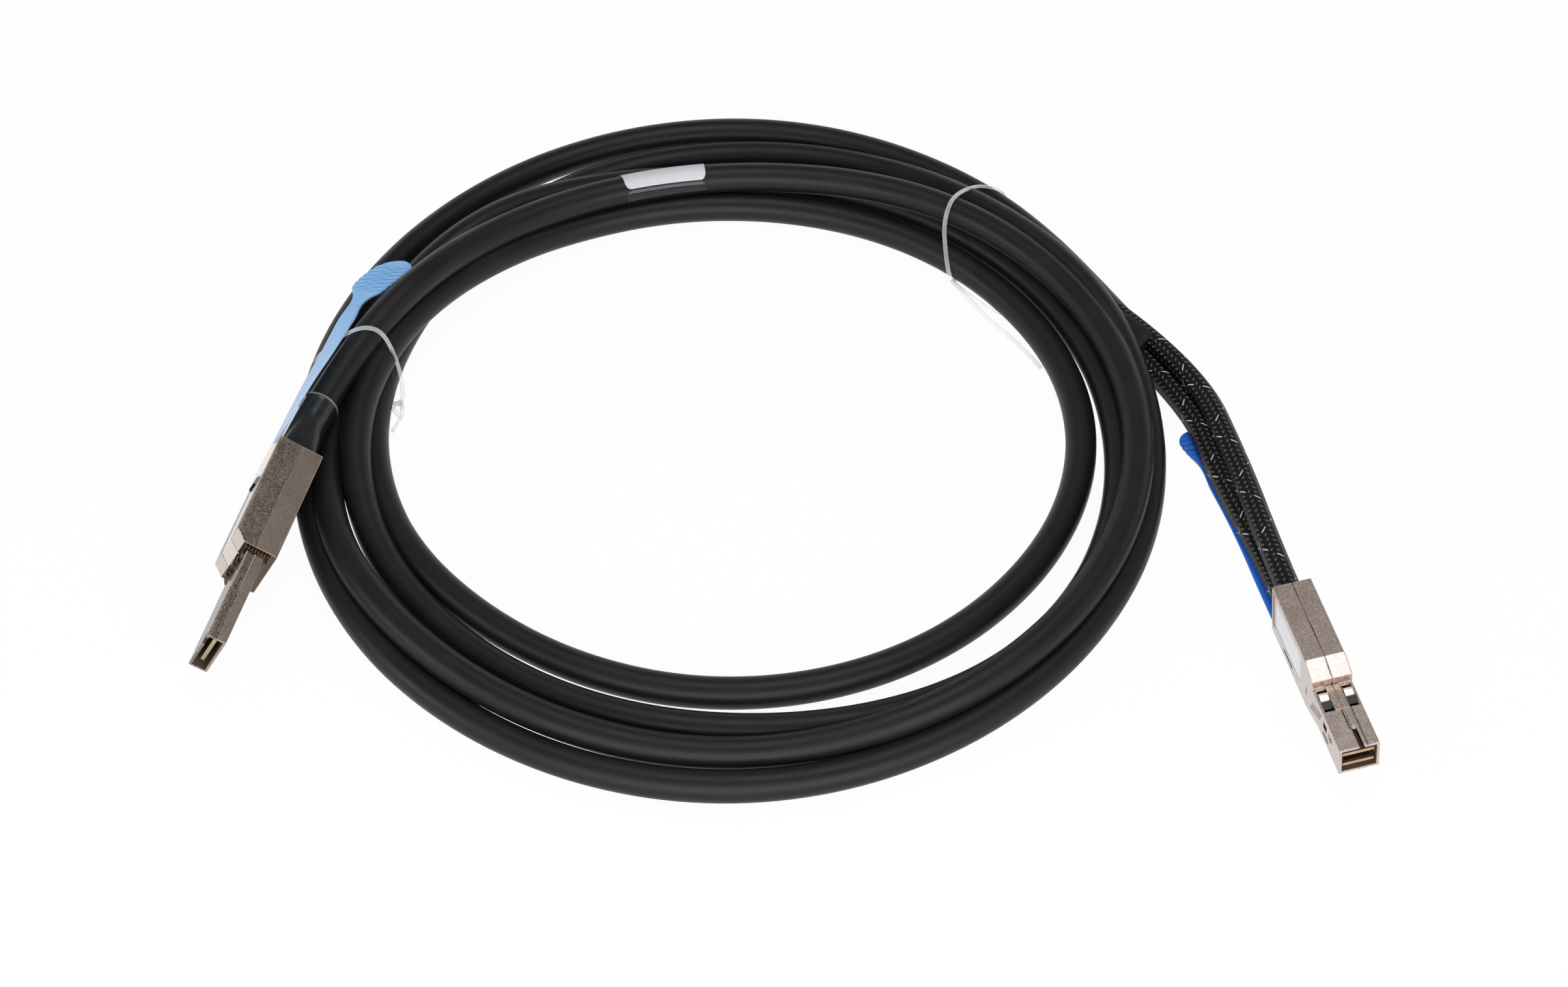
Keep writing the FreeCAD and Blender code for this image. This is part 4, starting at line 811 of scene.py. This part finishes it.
# latch of the narrow plug: two spring strips bent up through the nose's windows, on a cross bar
latchStrip = {"seats": (-3.25, 3.25), "half": 1.28, "thick": 0.2, "root": 10.82, "barAt": 26.2, "barReach": (-4, 4),
              "barHalf": (1.3, 0.22)}
bend = [(25.6, latchStrip["root"]), (31.4, latchStrip["root"]), (33, 10.95), (33.6, 11.8), (34.2, 12.4), (35.4, 12.2),
        (36.3, 11.9), (37.3, 11.3), (38, 10.86)]
springs = [laidBar(narrowPlug, [(x, y, z, latchStrip["half"], latchStrip["thick"]) for x, z in bend], crosswise)
           for y in latchStrip["seats"]]
ends = [(latchStrip["barAt"], y, latchStrip["root"]) for y in latchStrip["barReach"]]
springs.append(straightBar(narrowPlug, *ends, *latchStrip["barHalf"], lengthwise, 6))
addGrid("narrow_latch_springs", springs, [springSteel], "hd_latch", ["hd_plug_latch"])
print("shell details made")

# finishes of the solids that stay

finishOf = {
    "wide_plug_top_shell": castCoarse, "wide_plug_base_shell": castFine, "wide_plug_card": greenBoard,
    "wide_plug_contacts": goldFlash, "wide_plug_wire_block": nylonBlack, "wide_plug_shield_collar": shieldBronze,
    "wide_plug_latch": hookSteel, "wide_plug_latch_pin": latchSteel, "wide_plug_crimp_ring": crimpBrass,
    "wide_plug_screws": latchSteel, "hd_plug_left_shell": castNarrow, "hd_plug_right_shell": castNarrow,
    "hd_plug_lower_card": tanBoard, "hd_plug_upper_card": tanBoard, "hd_plug_lower_contacts": goldFlash,
    "hd_plug_upper_contacts": goldFlash, "hd_plug_card_spacer": nylonBlack, "hd_plug_latch_pin": latchSteel,
    "hd_plug_side_label": labelVinyl, "hd_plug_crimp_rings": crimpBrass, "hd_plug_screws": latchSteel}
for name, material in finishOf.items():
    solids[name].data.materials.clear()
    solids[name].data.materials.append(material)

# table, light and camera

stage = {"half": 1.6, "below": 0.0004, "paper": "#f4f4f4", "lift": 0.95, "fill": 0.42, "ceiling": 0.2}
ground = bpy.data.meshes.new("table_paper")
corners = [(x * stage["half"], y * stage["half"], -stage["below"]) for x, y in ((-1, -1), (1, -1), (1, 1), (-1, 1))]
ground.from_pydata(corners, [], [(0, 1, 2, 3)])
table = bpy.data.objects.new("table_paper", ground)
scene.collection.objects.link(table)
# white paper sweep, lit to white where it is seen or mirrored, with a share of its own shading kept for the shadow
paper = newMaterial("white_paper_sweep")
seen = seenRay(paper)
share = mathNode(paper, "MULTIPLY", seen, stage["lift"])
matt = addNode(paper, "BsdfDiffuse", {"Color": linear(stage["paper"])})
glow = addNode(paper, "Emission", {"Color": (1, 1, 1, 1), "Strength": 1.0})
both = addNode(paper, "MixShader", {0: share, 1: matt, 2: glow})
addNode(paper, "OutputMaterial", {"Surface": both})
ground.materials.append(paper)

world = bpy.data.worlds.new("studio")
scene.world = world
world.use_nodes = True
world.node_tree.nodes.clear()
seen = seenRay(world)
# the white backdrop reaches about 15 degrees up, and a dim ceiling lies above it
place = addNode(world, "TexCoord")
axes = addNode(world, "SeparateXYZ", {0: place.outputs["Generated"]}).outputs
backdrop = mapRange(world, axes[2], 0.22, 0.5, 1.0, stage["ceiling"])
level = addNode(world, "Mix", {0: seen, 2: stage["fill"], 3: backdrop}, data_type="FLOAT")
sky = addNode(world, "Background", {"Color": (1, 1, 1, 1), "Strength": level})
addNode(world, "OutputWorld", {"Surface": sky})

# place, size and watts of each lamp
lamps = {"overheadSoftbox": ((0.06, 0.14, 0.9), (0.5, 0.48), 2.2), "leftFill": ((-0.95, -0.3, 0.45), (0.5, 0.4), 2.2),
         "frontFill": ((0.05, -0.62, 0.3), (1.2, 0.5), 5.6)}
for name, (spot, size, watts) in lamps.items():
    lamp = bpy.data.lights.new(name, "AREA")
    lamp.shape = "RECTANGLE"
    lamp.size, lamp.size_y = size
    lamp.energy = watts
    holder = bpy.data.objects.new(name, lamp)
    holder.location = spot
    aim = np.array((0, 0.02, 0)) - np.array(spot)
    if name != "overheadSoftbox":  # that one hangs level
        drop = math.acos(-aim[2] / np.linalg.norm(aim))
        holder.rotation_euler = (drop, 0, math.atan2(aim[1], aim[0]) - math.pi / 2)
    scene.collection.objects.link(holder)

view = {"target": (2.67, 13.44, 0.0), "distance": 815.0, "elevation": 48.4, "lens": 68.35}
camera = bpy.data.cameras.new("camera")
camera.lens = view["lens"]
camera.sensor_width = 36.0
camera.sensor_fit = "HORIZONTAL"
camera.clip_start = 0.01
eye = bpy.data.objects.new("camera", camera)
tilt = math.radians(view["elevation"])
back, above = view["distance"] * math.cos(tilt), view["distance"] * math.sin(tilt)
eye.location = np.array((view["target"][0], view["target"][1] - back, above)) * mm
eye.rotation_euler = (math.pi / 2 - tilt, 0, 0)
scene.collection.objects.link(eye)
scene.camera = eye
scene.view_settings.view_transform = "Standard"
print("table, light and camera set")
